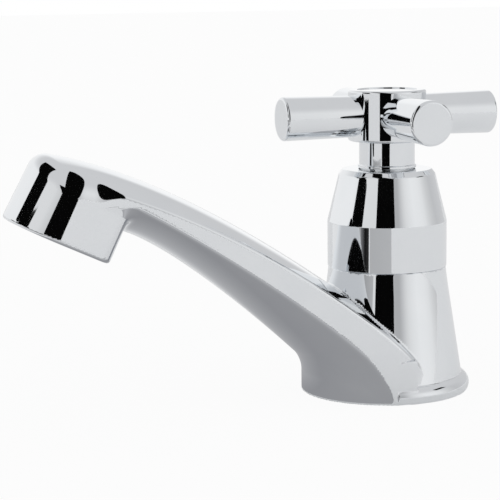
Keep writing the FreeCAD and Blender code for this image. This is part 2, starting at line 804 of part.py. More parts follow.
# Whitworth thread: crest and root each take a sixth of the pitch, each flank a third
first_groove = "tail_chamfer - tail_length + thread_pitch / 2"
groove_outline = outlined(inlet_tail, "tail_groove", [
    ("thread_root_radius", first_groove + " + thread_pitch / 12"),
    ("thread_root_radius", first_groove + " - thread_pitch / 12"),
    ("thread_radius", first_groove + " - thread_pitch * 5 / 12"),
    ("thread_radius + cut_overrun", first_groove + " - thread_pitch * 5 / 12"),
    ("thread_radius + cut_overrun", first_groove + " + thread_pitch * 5 / 12"),
    ("thread_radius", first_groove + " + thread_pitch * 5 / 12"),
])
tail_groove = inlet_tail.newObject("PartDesign::Groove", "tail_groove")
tail_groove.Profile = groove_outline
tail_groove.ReferenceAxis = (groove_outline, ["V_Axis"])
tail_groove.Angle = 360
tail_thread = inlet_tail.newObject("PartDesign::LinearPattern", "tail_thread")
tail_thread.Originals = [tail_groove]
tail_thread.Direction = (groove_outline, ["V_Axis"])
tail_turns = math.floor(number("(tail_length + tail_top_height - tail_chamfer) / thread_pitch"))
tail_thread.Occurrences = tail_turns
tail_thread.setExpression("Length", bound("thread_pitch * %d" % (tail_turns - 1)))
inlet_tail.Tip = tail_thread
node(inlet_tail, "inlet_tail")

tail_seal = node(turned("tail_seal", [
    ("tail_bore_radius", "0"),
    ("thread_radius", "0"),
    ("thread_radius", "tail_seal_thickness"),
    ("tail_bore_radius", "tail_seal_thickness"),
], "tail_top_height"), "tail_seal")

base_gasket = node(turned("base_gasket", [
    ("gasket_inner_radius", "0"),
    ("gasket_outer_radius", "0"),
    ("gasket_outer_radius", "gasket_thickness"),
    ("gasket_inner_radius", "gasket_thickness"),
]), "base_gasket")

back_washer = node(turned("back_washer", [
    ("back_washer_bore_radius", "-back_washer_thickness"),
    ("back_washer_radius", "-back_washer_thickness"),
    ("back_washer_radius", "0"),
    ("back_washer_bore_radius", "0"),
], "-deck_thickness"), "back_washer")

nut_flange = turned("nut_flange", [
    ("0", "backnut_height - backnut_flange_height"),
    ("backnut_flange_radius", "backnut_height - backnut_flange_height"),
    ("backnut_flange_radius", "backnut_height"),
    ("0", "backnut_height"),
], "backnut_bottom_height")
nut_blank = joined("nut_blank", [
    nut_flange,
    hexagon("nut_hexagon", "backnut_hex_radius", "backnut_height", "backnut_bottom_height"),
])
nut_bore = cylinder(
    "nut_bore", "threaded_bore_radius", "backnut_height", "backnut_bottom_height")
backnut = node(cut("backnut", nut_blank, [nut_bore]), "backnut")

# ---------------------------------------------------------------------------
# Valve: seat, headwork and its gasket
# ---------------------------------------------------------------------------

valve_seat = node(turned("valve_seat", [
    ("seat_bore_radius", "-seat_ring_depth"),
    ("seat_ring_radius", "-seat_ring_depth"),
    ("seat_ring_radius", "0"),
    ("lip_outer_radius", "0"),
    ("lip_outer_radius - lip_bevel", "lip_height"),
    ("lip_inner_radius", "lip_height"),
    ("seat_bore_radius", "lip_height - lip_lead"),
], "seat_height"), "valve_seat")

headwork_gasket = node(turned("headwork_gasket", [
    ("threaded_bore_radius", "0"),
    ("headwork_gasket_radius", "0"),
    ("headwork_gasket_radius", "headwork_gasket_thickness"),
    ("threaded_bore_radius", "headwork_gasket_thickness"),
], "spigot_top_height"), "headwork_gasket")

headwork_blank = turned("headwork_blank", [
    ("0", "headwork_bottom_height"),
    ("thread_radius", "headwork_bottom_height"),
    ("thread_radius", "headwork_hex_bottom_height"),
    ("headwork_neck_radius", "headwork_hex_bottom_height"),
    ("headwork_neck_radius", "headwork_top_height"),
    ("0", "headwork_top_height"),
])
headwork_hexagon = hexagon(
    "headwork_hexagon", "headwork_hex_radius", "headwork_hex_height",
    "headwork_hex_bottom_height")
headwork_bore = turned("headwork_bore", [
    ("0", "headwork_bottom_height - cut_overrun"),
    ("spindle_bore_radius", "headwork_bottom_height - cut_overrun"),
    ("spindle_bore_radius", "headwork_step_height"),
    ("stem_bore_radius", "headwork_step_height"),
    ("stem_bore_radius", "headwork_top_height + cut_overrun"),
    ("0", "headwork_top_height + cut_overrun"),
])
headwork_solid = joined("headwork_solid", [headwork_blank, headwork_hexagon])
headwork = node(cut("headwork", headwork_solid, [headwork_bore]), "headwork_body")

# ---------------------------------------------------------------------------
# Shroud over the headwork, its O-ring and its guide bush
# ---------------------------------------------------------------------------

shroud = node(turned("shroud", [
    ("shroud_bore_radius", "joint_height"),
    ("column_radius", "joint_height"),
    ("column_radius", "shroud_shoulder_height"),
    ("shroud_crown_radius", "shroud_crown_height", "shroud_edge_round"),
    ("shroud_top_radius", "shroud_top_height"),
    ("shroud_hole_radius", "shroud_top_height"),
    ("shroud_hole_radius", "shroud_ceiling_height"),
    ("bush_radius", "shroud_ceiling_height"),
    ("bush_radius", "shroud_ceiling_height - bush_collar_height"),
    ("bush_radius + bush_collar_wall", "shroud_ceiling_height - bush_collar_height"),
    ("bush_radius + bush_collar_wall", "shroud_ceiling_height - bush_collar_step"),
    ("shroud_inner_radius", "shroud_shoulder_height - shroud_shoulder_drop"),
    ("shroud_inner_radius", "shroud_thread_top_height"),
    ("shroud_bore_radius", "shroud_thread_top_height"),
]), "shroud")

shroud_o_ring = node(ring(
    "shroud_o_ring",
    "shroud_bore_radius - shroud_ring_section",
    "shroud_ring_section",
    "shroud_groove_height + shroud_groove_width / 2",
), "shroud_o_ring")

guide_bush = node(turned("guide_bush", [
    ("bush_bore_radius", "-bush_height"),
    ("bush_radius", "-bush_height"),
    ("bush_radius", "0"),
    ("bush_bore_radius", "0"),
], "shroud_ceiling_height"), "guide_bush")

# ---------------------------------------------------------------------------
# Jumper valve, which lifts without turning
# ---------------------------------------------------------------------------

jumper_valve = node(turned("jumper_valve", [
    ("0", "washer_nut_bottom_height - stud_overhang"),
    ("jumper_stud_radius", "washer_nut_bottom_height - stud_overhang"),
    ("jumper_stud_radius", "washer_top_height"),
    ("jumper_plate_radius", "washer_top_height"),
    ("jumper_plate_radius", "jumper_plate_top_height"),
    ("jumper_stem_radius", "jumper_plate_top_height"),
    ("jumper_stem_radius", "jumper_stem_top_height"),
    ("0", "jumper_stem_top_height"),
]), "jumper_valve")

tap_washer = node(turned("tap_washer", [
    ("jumper_stud_radius", "0"),
    ("washer_radius", "0"),
    ("washer_radius", "washer_thickness"),
    ("jumper_stud_radius", "washer_thickness"),
], "washer_bottom_height"), "tap_washer")

washer_nut_blank = hexagon(
    "washer_nut_blank", "washer_nut_radius", "washer_nut_thickness",
    "washer_nut_bottom_height")
washer_nut_bore = cylinder(
    "washer_nut_bore", "jumper_stud_radius", "washer_nut_thickness",
    "washer_nut_bottom_height")
washer_nut = node(cut("washer_nut", washer_nut_blank, [washer_nut_bore]), "washer_nut")

# ---------------------------------------------------------------------------
# Spindle, with a splined end that drives the handle
# ---------------------------------------------------------------------------

def splined_prism(clearance, bottom, top):
    """Return a prism whose outline zigzags between spline roots and tips."""
    root = number("spline_root_radius") + clearance
    tip = number("spline_tip_radius") + clearance
    points = []
    for step in range(2 * SPLINE_TEETH + 1):
        angle = math.pi * step / SPLINE_TEETH
        radius = tip if step % 2 == 0 else root
        points.append(Vector(radius * math.cos(angle), radius * math.sin(angle), bottom))
    return Part.Face(Part.makePolygon(points)).extrude(Vector(0, 0, top - bottom))


def groove(height):
    """Return the corners of an O-ring groove in the spindle's stem."""
    return [("spindle_stem_radius", height), ("stem_groove_radius", height),
            ("stem_groove_radius", height + " + stem_groove_width"),
            ("spindle_stem_radius", height + " + stem_groove_width")]


spindle_blank = turned("spindle_blank", [
    ("jumper_bore_radius", "spindle_bottom_height"),
    ("spindle_thread_radius", "spindle_bottom_height"),
    ("spindle_thread_radius", "spindle_thread_top_height"),
    ("spindle_stem_radius", "spindle_thread_top_height"),
] + groove("lower_groove_height") + groove("upper_groove_height") + [
    ("spindle_stem_radius", "spline_start_height - body_clearance"),
    ("spline_root_radius", "spline_start_height - body_clearance"),
    ("spline_root_radius", "spindle_top_height"),
    ("screw_bore_radius", "spindle_top_height"),
    ("screw_bore_radius", "screw_hole_floor_height"),
    ("0", "screw_hole_floor_height"),
    ("0", "jumper_bore_top_height"),
    ("jumper_bore_radius", "jumper_bore_top_height"),
])
spline_blank = shaped("spline_blank", splined_prism(
    0, number("spline_start_height"), number("spindle_top_height")))
spline_core = cylinder(
    "spline_core", "spline_root_radius - spline_overlap",
    "spindle_top_height - spline_start_height + 2 * cut_overrun",
    "spline_start_height - cut_overrun")
spline_teeth = cut("spline_teeth", spline_blank, [spline_core])
spindle = node(joined("spindle", [spindle_blank, spline_teeth]), "spindle")

spindle_rings = doc.addObject("Part::Compound", "spindle_rings")
spindle_rings.Links = [
    ring("lower_ring", "stem_ring_radius", "stem_ring_section",
         "lower_groove_height + stem_groove_width / 2"),
    ring("upper_ring", "stem_ring_radius", "stem_ring_section",
         "upper_groove_height + stem_groove_width / 2"),
]
node(spindle_rings, "spindle_o_rings")

# ---------------------------------------------------------------------------
# Cross handle: hub, four arms, screw, spring washer and index cap
# ---------------------------------------------------------------------------

hub_blank = turned("hub_blank", [
    ("spline_bore_radius", "spline_start_height"),
    ("boss_radius", "spline_start_height"),
    ("boss_radius", "skirt_bottom_height"),
    ("skirt_radius", "skirt_bottom_height"),
    ("skirt_radius", "skirt_top_height"),
    ("neck_radius", "skirt_top_height"),
    ("neck_radius", "hub_bottom_height"),
    ("hub_radius - hub_round", "hub_bottom_height", "hub_round"),
    ("hub_radius", "hub_bottom_height + hub_round"),
    ("hub_radius", "hub_top_height - hub_round", "hub_round"),
    ("hub_radius - hub_round", "hub_top_height"),
    ("cap_bore_radius", "hub_top_height"),
    ("cap_bore_radius", "cap_seat_height"),
    ("screw_recess_radius", "cap_seat_height"),
    ("screw_recess_radius", "screw_floor_height"),
    ("screw_clearance_radius", "screw_floor_height"),
    ("screw_clearance_radius", "spline_bore_top_height"),
    ("spline_bore_radius", "spline_bore_top_height"),
])
spline_socket = shaped("spline_socket", splined_prism(
    number("spline_clearance"),
    number("spline_start_height - cut_overrun"),
    number("spline_bore_top_height")))

arm_holes = []
for index, arm_name in enumerate(ARM_NAMES):
    angle = 360.0 * index / len(ARM_NAMES)
    outward = Rotation(Vector(0, 0, 1), angle) * Rotation(Vector(0, 1, 0), 90)
    rod = turned(arm_name + "_rod", [
        ("0", "arm_root_reach"),
        ("arm_root_radius", "arm_root_reach"),
        ("arm_end_radius", "arm_reach - arm_round", "arm_round"),
        ("arm_end_radius - arm_round", "arm_reach"),
        ("0", "arm_reach"),
    ])
    stud_length = "hub_radius + cut_overrun - stud_root_reach"
    stud = cylinder(arm_name + "_stud", "stud_radius", stud_length)
    hole_length = "hub_radius + cut_overrun"
    hole = cylinder(arm_name + "_hole", "stud_radius + stud_clearance", hole_length)
    for feature in (rod, stud, hole):
        feature.Placement.Rotation = outward
        raised(feature, "arm_height")
    along_x = round(math.cos(math.radians(angle)))
    along_y = round(math.sin(math.radians(angle)))
    stud.setExpression("Placement.Base.x", bound("stud_root_reach * %d" % along_x))
    stud.setExpression("Placement.Base.y", bound("stud_root_reach * %d" % along_y))
    arm_holes.append(hole)
    saddle = cylinder(
        arm_name + "_saddle", "hub_radius", "2 * (arm_end_radius + cut_overrun)",
        "arm_height - arm_end_radius - cut_overrun")
    saddled = cut(arm_name + "_saddled", rod, [saddle])
    node(joined(arm_name, [saddled, stud]), arm_name)

handle_hub = node(cut("handle_hub", hub_blank, [spline_socket] + arm_holes), "handle_hub")

screw_blank = turned("screw_blank", [
    ("0", "-screw_length"),
    ("screw_radius", "-screw_length"),
    ("screw_radius", "0"),
    ("screw_head_radius", "0"),
    ("screw_head_radius", "screw_head_height"),
    ("0", "screw_head_height"),
], "screw_seat_height")
screw_socket = hexagon("screw_socket", "screw_socket_radius", "screw_socket_depth + cut_overrun",
                       "screw_seat_height + screw_head_height - screw_socket_depth")
handle_screw = node(cut("handle_screw", screw_blank, [screw_socket]), "handle_screw")

spring_washer = node(turned("spring_washer", [
    ("screw_clearance_radius", "0"),
    ("screw_head_radius", "0"),
    ("screw_head_radius", "spring_washer_thickness"),
    ("screw_clearance_radius", "spring_washer_thickness"),
], "screw_floor_height"), "spring_washer")

index_cap = node(turned("index_cap", [
    ("plug_bore_radius", "-plug_length"),
    ("plug_radius", "-plug_length"),
    ("plug_radius", "0"),
    ("cap_radius", "0"),
    ("cap_radius", "cap_thickness - cap_round", "cap_round"),
    ("cap_radius - cap_round", "cap_thickness"),
    ("0", "cap_thickness"),
    ("0", "plug_wall"),
    ("plug_bore_radius", "plug_wall"),
], "cap_seat_height"), "index_cap")

# ---------------------------------------------------------------------------
# Flow straightener in the nozzle and its O-ring
# ---------------------------------------------------------------------------

flow_straightener = turned("flow_straightener", [
    ("grille_hole_radius", "grille_lift"),
    ("insert_inner_radius", "grille_lift"),
    ("insert_inner_radius", "insert_lift"),
    ("insert_radius", "insert_lift"),
    ("insert_radius", "insert_groove_lift"),
    ("insert_groove_radius", "insert_groove_lift"),
    ("insert_groove_radius", "insert_groove_lift + insert_groove_width"),
    ("insert_radius", "insert_groove_lift + insert_groove_width"),
    ("insert_radius", "insert_lift + insert_length"),
    ("insert_inner_radius", "insert_lift + insert_length"),
    ("insert_inner_radius", "grille_lift + grille_thickness"),
    ("grille_hole_radius", "grille_lift + grille_thickness"),
])


def ring_of_holes(body, name, ring_radius, count):
    """Drill one hole through the grille and repeat it round the axis."""
    level = [plane for plane in body.Origin.OriginFeatures if plane.Role == "XY_Plane"]
    sketch = body.newObject("Sketcher::SketchObject", name + "_sketch")
    sketch.AttachmentSupport = [(level[0], "")]
    sketch.MapMode = "FlatFace"
    centre = Vector(number(ring_radius), 0, 0)
    sketch.addGeometry(Part.Circle(centre, Vector(0, 0, 1), number("grille_hole_radius")))
    sketch.addConstraint(Sketcher.Constraint("PointOnObject", 0, 3, -1))
    place_hole = sketch.addConstraint(Sketcher.Constraint("DistanceX", -1, 1, 0, 3, centre.x))
    sketch.setExpression("Constraints[%d]" % place_hole, bound(ring_radius))
    size_hole = sketch.addConstraint(Sketcher.Constraint("Radius", 0, number("grille_hole_radius")))
    sketch.setExpression("Constraints[%d]" % size_hole, bound("grille_hole_radius"))
    hole = body.newObject("PartDesign::Pocket", name + "_hole")
    hole.Profile = sketch
    hole.Type = "ThroughAll"
    hole.Reversed = True
    pattern = body.newObject("PartDesign::PolarPattern", name + "_pattern")
    pattern.Originals = [hole]
    pattern.Axis = (sketch, ["N_Axis"])
    pattern.Angle = 360
    pattern.Occurrences = count
    body.Tip = pattern


ring_of_holes(flow_straightener, "inner_ring", "grille_inner_ring", GRILLE_INNER_HOLES)
ring_of_holes(flow_straightener, "outer_ring", "grille_outer_ring", GRILLE_OUTER_HOLES)
flow_straightener.Placement = nozzle_placement()
node(flow_straightener, "flow_straightener")

straightener_ring = ring(
    "straightener_ring",
    "outlet_radius - (insert_clearance + insert_groove_depth) / 2",
    "(insert_clearance + insert_groove_depth) / 2",
)
ring_lift = number("insert_groove_lift + insert_groove_width / 2")
straightener_ring.Placement = nozzle_placement() * Placement(Vector(0, 0, ring_lift), Rotation())
node(straightener_ring, "straightener_o_ring")

# ---------------------------------------------------------------------------
# Build, check and write
# ---------------------------------------------------------------------------

doc.recompute()

for feature in doc.Objects:
    if "Invalid" in feature.State or "Error" in feature.State:
        raise RuntimeError("%s did not build: %s" % (feature.Label, feature.State))
for feature in nodes:
    shape = feature.Shape
    if shape.isNull() or not shape.isValid() or not shape.Solids:
        raise RuntimeError("%s is not a sound solid" % feature.Label)

for feature in nodes:
    feature.Shape.exportStep("parts/%s.step" % feature.Label)
    print("%-22s solids %2d  volume %10.1f mm3" % (
        feature.Label, len(feature.Shape.Solids), feature.Shape.Volume))
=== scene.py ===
"""Pillar tap with a cross handle: how it looks.

Blender 4.5. Metres, +Z up, the origin at the centre of the base on the deck and
the spout towards -Y. The pieces follow the order in which the tap is put together.
"""

import bpy
import numpy as np
from mathutils import Matrix


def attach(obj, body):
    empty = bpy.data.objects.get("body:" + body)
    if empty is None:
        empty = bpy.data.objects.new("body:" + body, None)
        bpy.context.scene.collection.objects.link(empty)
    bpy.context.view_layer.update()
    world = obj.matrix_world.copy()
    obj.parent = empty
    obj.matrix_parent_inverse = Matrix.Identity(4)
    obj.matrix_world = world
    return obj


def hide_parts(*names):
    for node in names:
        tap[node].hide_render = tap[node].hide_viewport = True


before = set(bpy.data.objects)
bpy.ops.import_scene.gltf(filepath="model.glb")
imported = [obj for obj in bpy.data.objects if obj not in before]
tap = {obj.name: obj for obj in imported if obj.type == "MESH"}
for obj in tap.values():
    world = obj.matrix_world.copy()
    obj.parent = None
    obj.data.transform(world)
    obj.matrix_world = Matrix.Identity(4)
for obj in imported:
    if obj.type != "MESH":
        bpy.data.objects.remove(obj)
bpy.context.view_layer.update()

# ---------------------------------------------------------------------------
# Tap body
# The body is one brass casting: a conical column on a beaded foot, and a bowed
# blade of a spout that runs up to a leaning nozzle. It is linished, buffed and
# chrome plated, so its edges are crisp but never sharp.
# ---------------------------------------------------------------------------

MM = 0.001
GRID_MM = 0.53                    # spacing of the grid that the skin is found on

FOOT_RADIUS = 22.6                # column, by height above the deck
FOOT_HEIGHT = 4.9
COLUMN_RADIUS = 17.95
TAPER_TOP = 35.0
JOINT_HEIGHT = 37.9
JOINT_STEP = 0.27                 # the collar narrows by this much up to the shroud
BEAD_RADIUS = 24.3                # bead round the back of the foot
BEAD_ROUND = 3.1
BEAD_FRONT = 6.0
PLINTH_REACH = 26.4               # half an ellipse in plan, under the spout's root
PLINTH_HEIGHT = 13.0

NOZZLE_HALF_WIDTH = 14.5
OUTLET_REACH = 102.0
OUTLET_HEIGHT = 51.6
NOZZLE_LEAN = np.radians(25.5)
NOZZLE_FRONT = 15.9               # reach of the nozzle's front wall from its middle
NOZZLE_DRAFT = 0.055              # the front wall is drawn in by this slope going up
NOZZLE_REAR = 14.7
NOZZLE_CORNER = 3.5
BLADE_END = 93.0                  # the blade's underside ends inside the nozzle
SPOUT_BACK = 8.0                  # and its rear end inside the column

OUTLET_RADIUS = 10.0              # recess in the nozzle's mouth
OUTLET_DEPTH = 9.8
THREAD_BORE = 10.45               # bore for the tail below and the headwork above
SOCKET_DEPTH = 8.3
THREAD_FOOT = 28.9
CHAMBER_BORE = 9.6
SEAT_HEIGHT = 14.0
GASKET_RADIUS = 17.75             # middle of the groove in the base for its gasket
GASKET_HALF_WIDTH = 3.25
GASKET_DEPTH = 1.2

COLLAR_BLEND = 0.25               # length over which the cone turns into the collar
JOINT_ROUND = 0.25                # roundings of the casting's edges
PLINTH_ROUND = 0.3
MOUTH_ROUND = 1.0
OUTLET_ROUND = 0.5
LOWER_ROUND = 0.6                 # lower edges, sharp from the second reach on
LOWER_ROUND_REACH = (78, 84)
UPPER_ROUND = 0.7                 # upper edges, and what the nozzle adds to them
NOZZLE_ROUND = 2.65
NOZZLE_ROUND_REACH = (84, 93)
PLINTH_FILLET = 3.0               # fillets where its parts run into each other
NOZZLE_FILLET = 2.5
NOZZLE_FILLET_REACH = (60, 75)
COLUMN_FILLET = 0.45
BEAD_FILLET = 0.25

REACH = np.arange(-12.0, 126.0, 0.05)


def rail(foot, tip):
    """Heights of one rail of the spout's side view at every reach.

    Each end is (reach, height, angle, pull). Between them the rail is the cubic
    Bezier curve whose handles are as long as the pulls and lie at the angles;
    beyond them it runs on straight.
    """
    (r0, h0, a0, p0), (r1, h1, a1, p1) = foot, tip
    a0, a1 = np.radians(a0), np.radians(a1)
    t = np.linspace(0.0, 1.0, 900)
    weights = np.stack([(1 - t) ** 3, 3 * t * (1 - t) ** 2, 3 * t * t * (1 - t), t ** 3])
    reaches = np.array([r0, r0 + p0 * np.cos(a0), r1 - p1 * np.cos(a1), r1]) @ weights
    heights = np.array([h0, h0 + p0 * np.sin(a0), h1 - p1 * np.sin(a1), h1]) @ weights
    curve = np.interp(REACH, reaches, heights)
    curve = np.where(REACH < r0, h0 + (REACH - r0) * np.tan(a0), curve)
    return np.where(REACH > r1, h1 + (REACH - r1) * np.tan(a1), curve)


CROWN = rail((15.0, 30.3, 36.1, 33.3), (106.0, 76.6, 10.1, 30.6))
BAND_TOP = rail((-4.0, 8.1, 48.0, 27.0), (106.0, 70.6, 10.1, 44.0))
BAND_BOTTOM = rail((6.0, -0.9, 88.0, 17.1), (90.0, 65.3, 14.2, 9.3))
KEEL = rail((28.0, 11.6, 43.7, 33.7), (84.0, 53.4, 12.5, 9.9))


def plan_half_width():
    """Half the spout's width at every reach.

    It tapers in a straight line from the foot to the nozzle, where it turns
    parallel over a few millimetres. Behind the foot it follows the circle
    through three points, so the blade runs out on the column.
    """
    foot, turn, end = np.array([8.0, 23.75]), np.array([2.2, 23.3]), np.array([-3.5, 21.0])
    nozzle = OUTLET_REACH - NOZZLE_REAR * np.cos(NOZZLE_LEAN)
    line = foot[1] + (NOZZLE_HALF_WIDTH - foot[1]) * (REACH - foot[0]) / (nozzle - foot[0])
    blend = 0.5
    nearness = np.maximum(blend - np.abs(line - NOZZLE_HALF_WIDTH), 0) / blend
    width = np.maximum(line, NOZZLE_HALF_WIDTH) + nearness ** 2 * blend / 4
    chords = 2 * np.array([turn - foot, end - foot])
    centre = np.linalg.solve(chords, [turn @ turn - foot @ foot, end @ end - foot @ foot])
    radius = np.linalg.norm(foot - centre)
    arc = centre[1] + np.sqrt(np.maximum(radius ** 2 - (REACH - centre[0]) ** 2, 0))
    return np.where(REACH < foot[0], arc, width)


HALF_WIDTH = plan_half_width()


def both(a, b, radius):
    """What lies in both of two solids, their outer edge rounded to a radius."""
    over = np.hypot(np.maximum(a + radius, 0), np.maximum(b + radius, 0))
    return np.minimum(np.maximum(a, b), -radius) + over


def either(a, b, radius):
    """What lies in either of two solids, their inner corner filled to a radius."""
    return -both(-a, -b, radius)


def bowed(x, reach, half_width, middle, side):
    """Height and steepness of a surface bowed across the spout between two rails.

    Its height is the middle rail's, and changes with the square of the share of
    the half width until it is the side rail's.
    """
    share = x / half_width
    mid, edge = np.interp(reach, REACH, middle), np.interp(reach, REACH, side)
    mid_slope = np.interp(reach, REACH, np.gradient(middle, REACH))
    edge_slope = np.interp(reach, REACH, np.gradient(side, REACH))
    height = mid + (edge - mid) * share ** 2
    across = 2 * (edge - mid) * share / half_width
    along = mid_slope + (edge_slope - mid_slope) * share ** 2
    return height, np.sqrt(1 + across ** 2 + along ** 2)


def eased(value, low, high):
    """A smooth step from 0 at the low value to 1 at the high one."""
    share = np.clip((value - low) / (high - low), 0, 1)
    return share * share * (3 - 2 * share)


def oval(x, y, wide, long):
    """Distance to an ellipse in plan, to the first order."""
    size = np.sqrt((x / wide) ** 2 + (y / long) ** 2) + 1e-9
    slope = np.sqrt((x / wide ** 2) ** 2 + (y / long ** 2) ** 2) / size + 1e-9
    return (size - 1) / slope


def casting(x, y, z):
    """Distance in millimetres to the casting's skin, negative inside.

    Column, plinth, bead, blade and nozzle are each a distance of their own, and
    are joined and cut with rounded edges as the real casting has.
    """
    x, reach = np.abs(x), -y
    radius = np.hypot(x, y)
    taper = (FOOT_RADIUS - COLUMN_RADIUS) / (TAPER_TOP - FOOT_HEIGHT)
    cone = FOOT_RADIUS - (z - FOOT_HEIGHT) * taper
    collar = COLUMN_RADIUS - (z - TAPER_TOP) * JOINT_STEP / (JOINT_HEIGHT - TAPER_TOP)
    nearness = np.maximum(COLLAR_BLEND - np.abs(cone - collar), 0) / COLLAR_BLEND
    wall = np.maximum(cone, collar) + nearness ** 2 * COLLAR_BLEND / 4
    column = both((radius - wall) / np.hypot(1, taper), z - JOINT_HEIGHT, JOINT_ROUND)

    half_width = np.interp(reach, REACH, HALF_WIDTH)
    narrowing = np.interp(reach, REACH, np.gradient(HALF_WIDTH, REACH))
    roof, roof_steep = bowed(x, reach, half_width, CROWN, BAND_TOP)
    under, under_steep = bowed(x, reach, half_width, KEEL, BAND_BOTTOM)
    above = (z - roof) / roof_steep
    below = (under - z) / under_steep

    lean_cos, lean_sin = np.cos(NOZZLE_LEAN), np.sin(NOZZLE_LEAN)
    out = (OUTLET_REACH - reach) * lean_cos - (z - OUTLET_HEIGHT) * lean_sin
    up = (OUTLET_REACH - reach) * lean_sin + (z - OUTLET_HEIGHT) * lean_cos
    flank = (x - half_width) / np.hypot(1, narrowing)
    front = oval(x, out, NOZZLE_HALF_WIDTH, NOZZLE_FRONT - NOZZLE_DRAFT * up)
    sides = np.where(out < 0, front, flank)
    corner_x = x - (NOZZLE_HALF_WIDTH - NOZZLE_CORNER)
    corner_y = out - (NOZZLE_REAR - NOZZLE_CORNER)
    rear = (np.hypot(np.maximum(corner_x, 0), np.maximum(corner_y, 0))
            + np.minimum(np.maximum(corner_x, corner_y), 0) - NOZZLE_CORNER)
    prism = np.where(out < 0, sides, rear)
    nozzle = both(prism, -up, MOUTH_ROUND)

    plinth = both(oval(x, y, BEAD_RADIUS, PLINTH_REACH), z - PLINTH_HEIGHT, PLINTH_ROUND)
    plinth = np.maximum(plinth, y)
    blade = np.maximum(below, reach - BLADE_END)
    blade = either(blade, plinth, PLINTH_FILLET)
    lower = either(blade, nozzle, NOZZLE_FILLET * eased(reach, *NOZZLE_FILLET_REACH) + 0.01)
    spout = both(sides, lower, LOWER_ROUND * (1 - eased(reach, *LOWER_ROUND_REACH)) + 0.001)
    spout = both(spout, above, UPPER_ROUND + NOZZLE_ROUND * eased(reach, *NOZZLE_ROUND_REACH))
    spout = np.maximum(spout, y - SPOUT_BACK)

    body = either(column, spout, COLUMN_FILLET)
    body = np.minimum(body, plinth)
    bead_middle = np.array([BEAD_RADIUS, 0.0]) / 2 + np.array([FOOT_RADIUS, FOOT_HEIGHT]) / 2
    chord = np.array([FOOT_RADIUS - BEAD_RADIUS, FOOT_HEIGHT])
    half = np.linalg.norm(chord) / 2
    inward = np.array([-chord[1], chord[0]]) / np.linalg.norm(chord)
    centre = bead_middle + inward * np.sqrt(BEAD_ROUND ** 2 - half ** 2)
    bead = np.hypot(radius - centre[0], z - centre[1]) - BEAD_ROUND
    bead = np.maximum(bead, -BEAD_FRONT - y)
    body = either(body, bead, BEAD_FILLET)
    body = np.maximum(body, -z)

    outlet = np.maximum(np.hypot(x, out) - OUTLET_RADIUS, up - OUTLET_DEPTH)
    body = both(body, -outlet, OUTLET_ROUND)
    socket = np.maximum(radius - THREAD_BORE, z - SOCKET_DEPTH)
    thread = np.maximum(radius - THREAD_BORE, THREAD_FOOT - z)
    chamber = np.maximum(radius - CHAMBER_BORE, SEAT_HEIGHT - z)
    groove = np.maximum(np.abs(radius - GASKET_RADIUS) - GASKET_HALF_WIDTH, z - GASKET_DEPTH)
    hollow = np.minimum(np.minimum(socket, groove), np.minimum(thread, chamber))
    return np.maximum(body, -hollow)


def skin(field, low, high, step):
    """Find the surface where a field is nought, as points, outward normals and quads.

    The field is worked out on a grid. Each cell that the surface passes through
    gets one point, the mean of the places where its edges cross the surface, and
    each crossed edge gets a quad between its four cells. The points are then
    moved onto the surface along the field's gradient, which is also the normal.
    """
    axes = [np.arange(a, b + step, step) for a, b in zip(low, high)]
    slices = [field(x, axes[1][:, None], axes[2][None, :]) for x in axes[0]]
    values = np.stack(slices).astype(np.float32)
    inside = values < 0
    shape = tuple(n - 1 for n in values.shape)
    total = np.zeros(shape + (3,), np.float32)
    count = np.zeros(shape, np.float32)
    crossings = []
    for axis in range(3):
        first = np.moveaxis(inside, axis, 0)[:-1]
        second = np.moveaxis(inside, axis, 0)[1:]
        crossed = first != second
        crossings.append((axis, crossed, first))
        where = np.argwhere(crossed)
        order = [axis] + [other for other in range(3) if other != axis]
        index = np.empty_like(where)
        index[:, order] = where
        ahead = index.copy()
        ahead[:, axis] += 1
        near, far = values[tuple(index.T)], values[tuple(ahead.T)]
        point = index.astype(np.float32)
        point[:, axis] += near / (near - far)
        side_a, side_b = order[1], order[2]
        for shift_a in (0, -1):
            for shift_b in (0, -1):
                cell = index.copy()
                cell[:, side_a] += shift_a
                cell[:, side_b] += shift_b
                fits = np.all((cell >= 0) & (cell < shape), axis=1)
                flat = np.ravel_multi_index(tuple(cell[fits].T), shape)
                np.add.at(count.reshape(-1), flat, 1)
                np.add.at(total.reshape(-1, 3), flat, point[fits])
    active = count > 0
    number = np.full(shape, -1, np.int64)
    number[active] = np.arange(active.sum())
    points = total[active] / count[active][:, None] * step + np.array(low)
    quads = []
    for axis, crossed, first in crossings:
        where = np.argwhere(crossed)
        order = [axis] + [other for other in range(3) if other != axis]
        index = np.empty_like(where)
        index[:, order] = where
        side_a, side_b = order[1], order[2]
        around = []
        for shift_a, shift_b in ((0, 0), (-1, 0), (-1, -1), (0, -1)):
            cell = index.copy()
            cell[:, side_a] += shift_a
            cell[:, side_b] += shift_b
            around.append(cell)
        around = np.stack(around, axis=1)
        fits = np.all((around >= 0) & (around < shape), axis=(1, 2))
        corners = number[tuple(np.moveaxis(around[fits], 2, 0))]
        outward = first[crossed][fits]
        flip = outward if axis != 1 else ~outward
        corners[~flip] = corners[~flip][:, ::-1]
        quads.append(corners)
    points = points.astype(np.float64)
    for _ in range(4):
        slope = gradient(field, points, step)
        value = field(*points.T)
        move = value[:, None] * slope / np.maximum((slope ** 2).sum(1), 1e-6)[:, None]
        points -= np.clip(move, -step / 2, step / 2)
    normals = gradient(field, points, step)
    normals /= np.linalg.norm(normals, axis=1)[:, None] + 1e-12
    return points, normals, np.concatenate(quads)


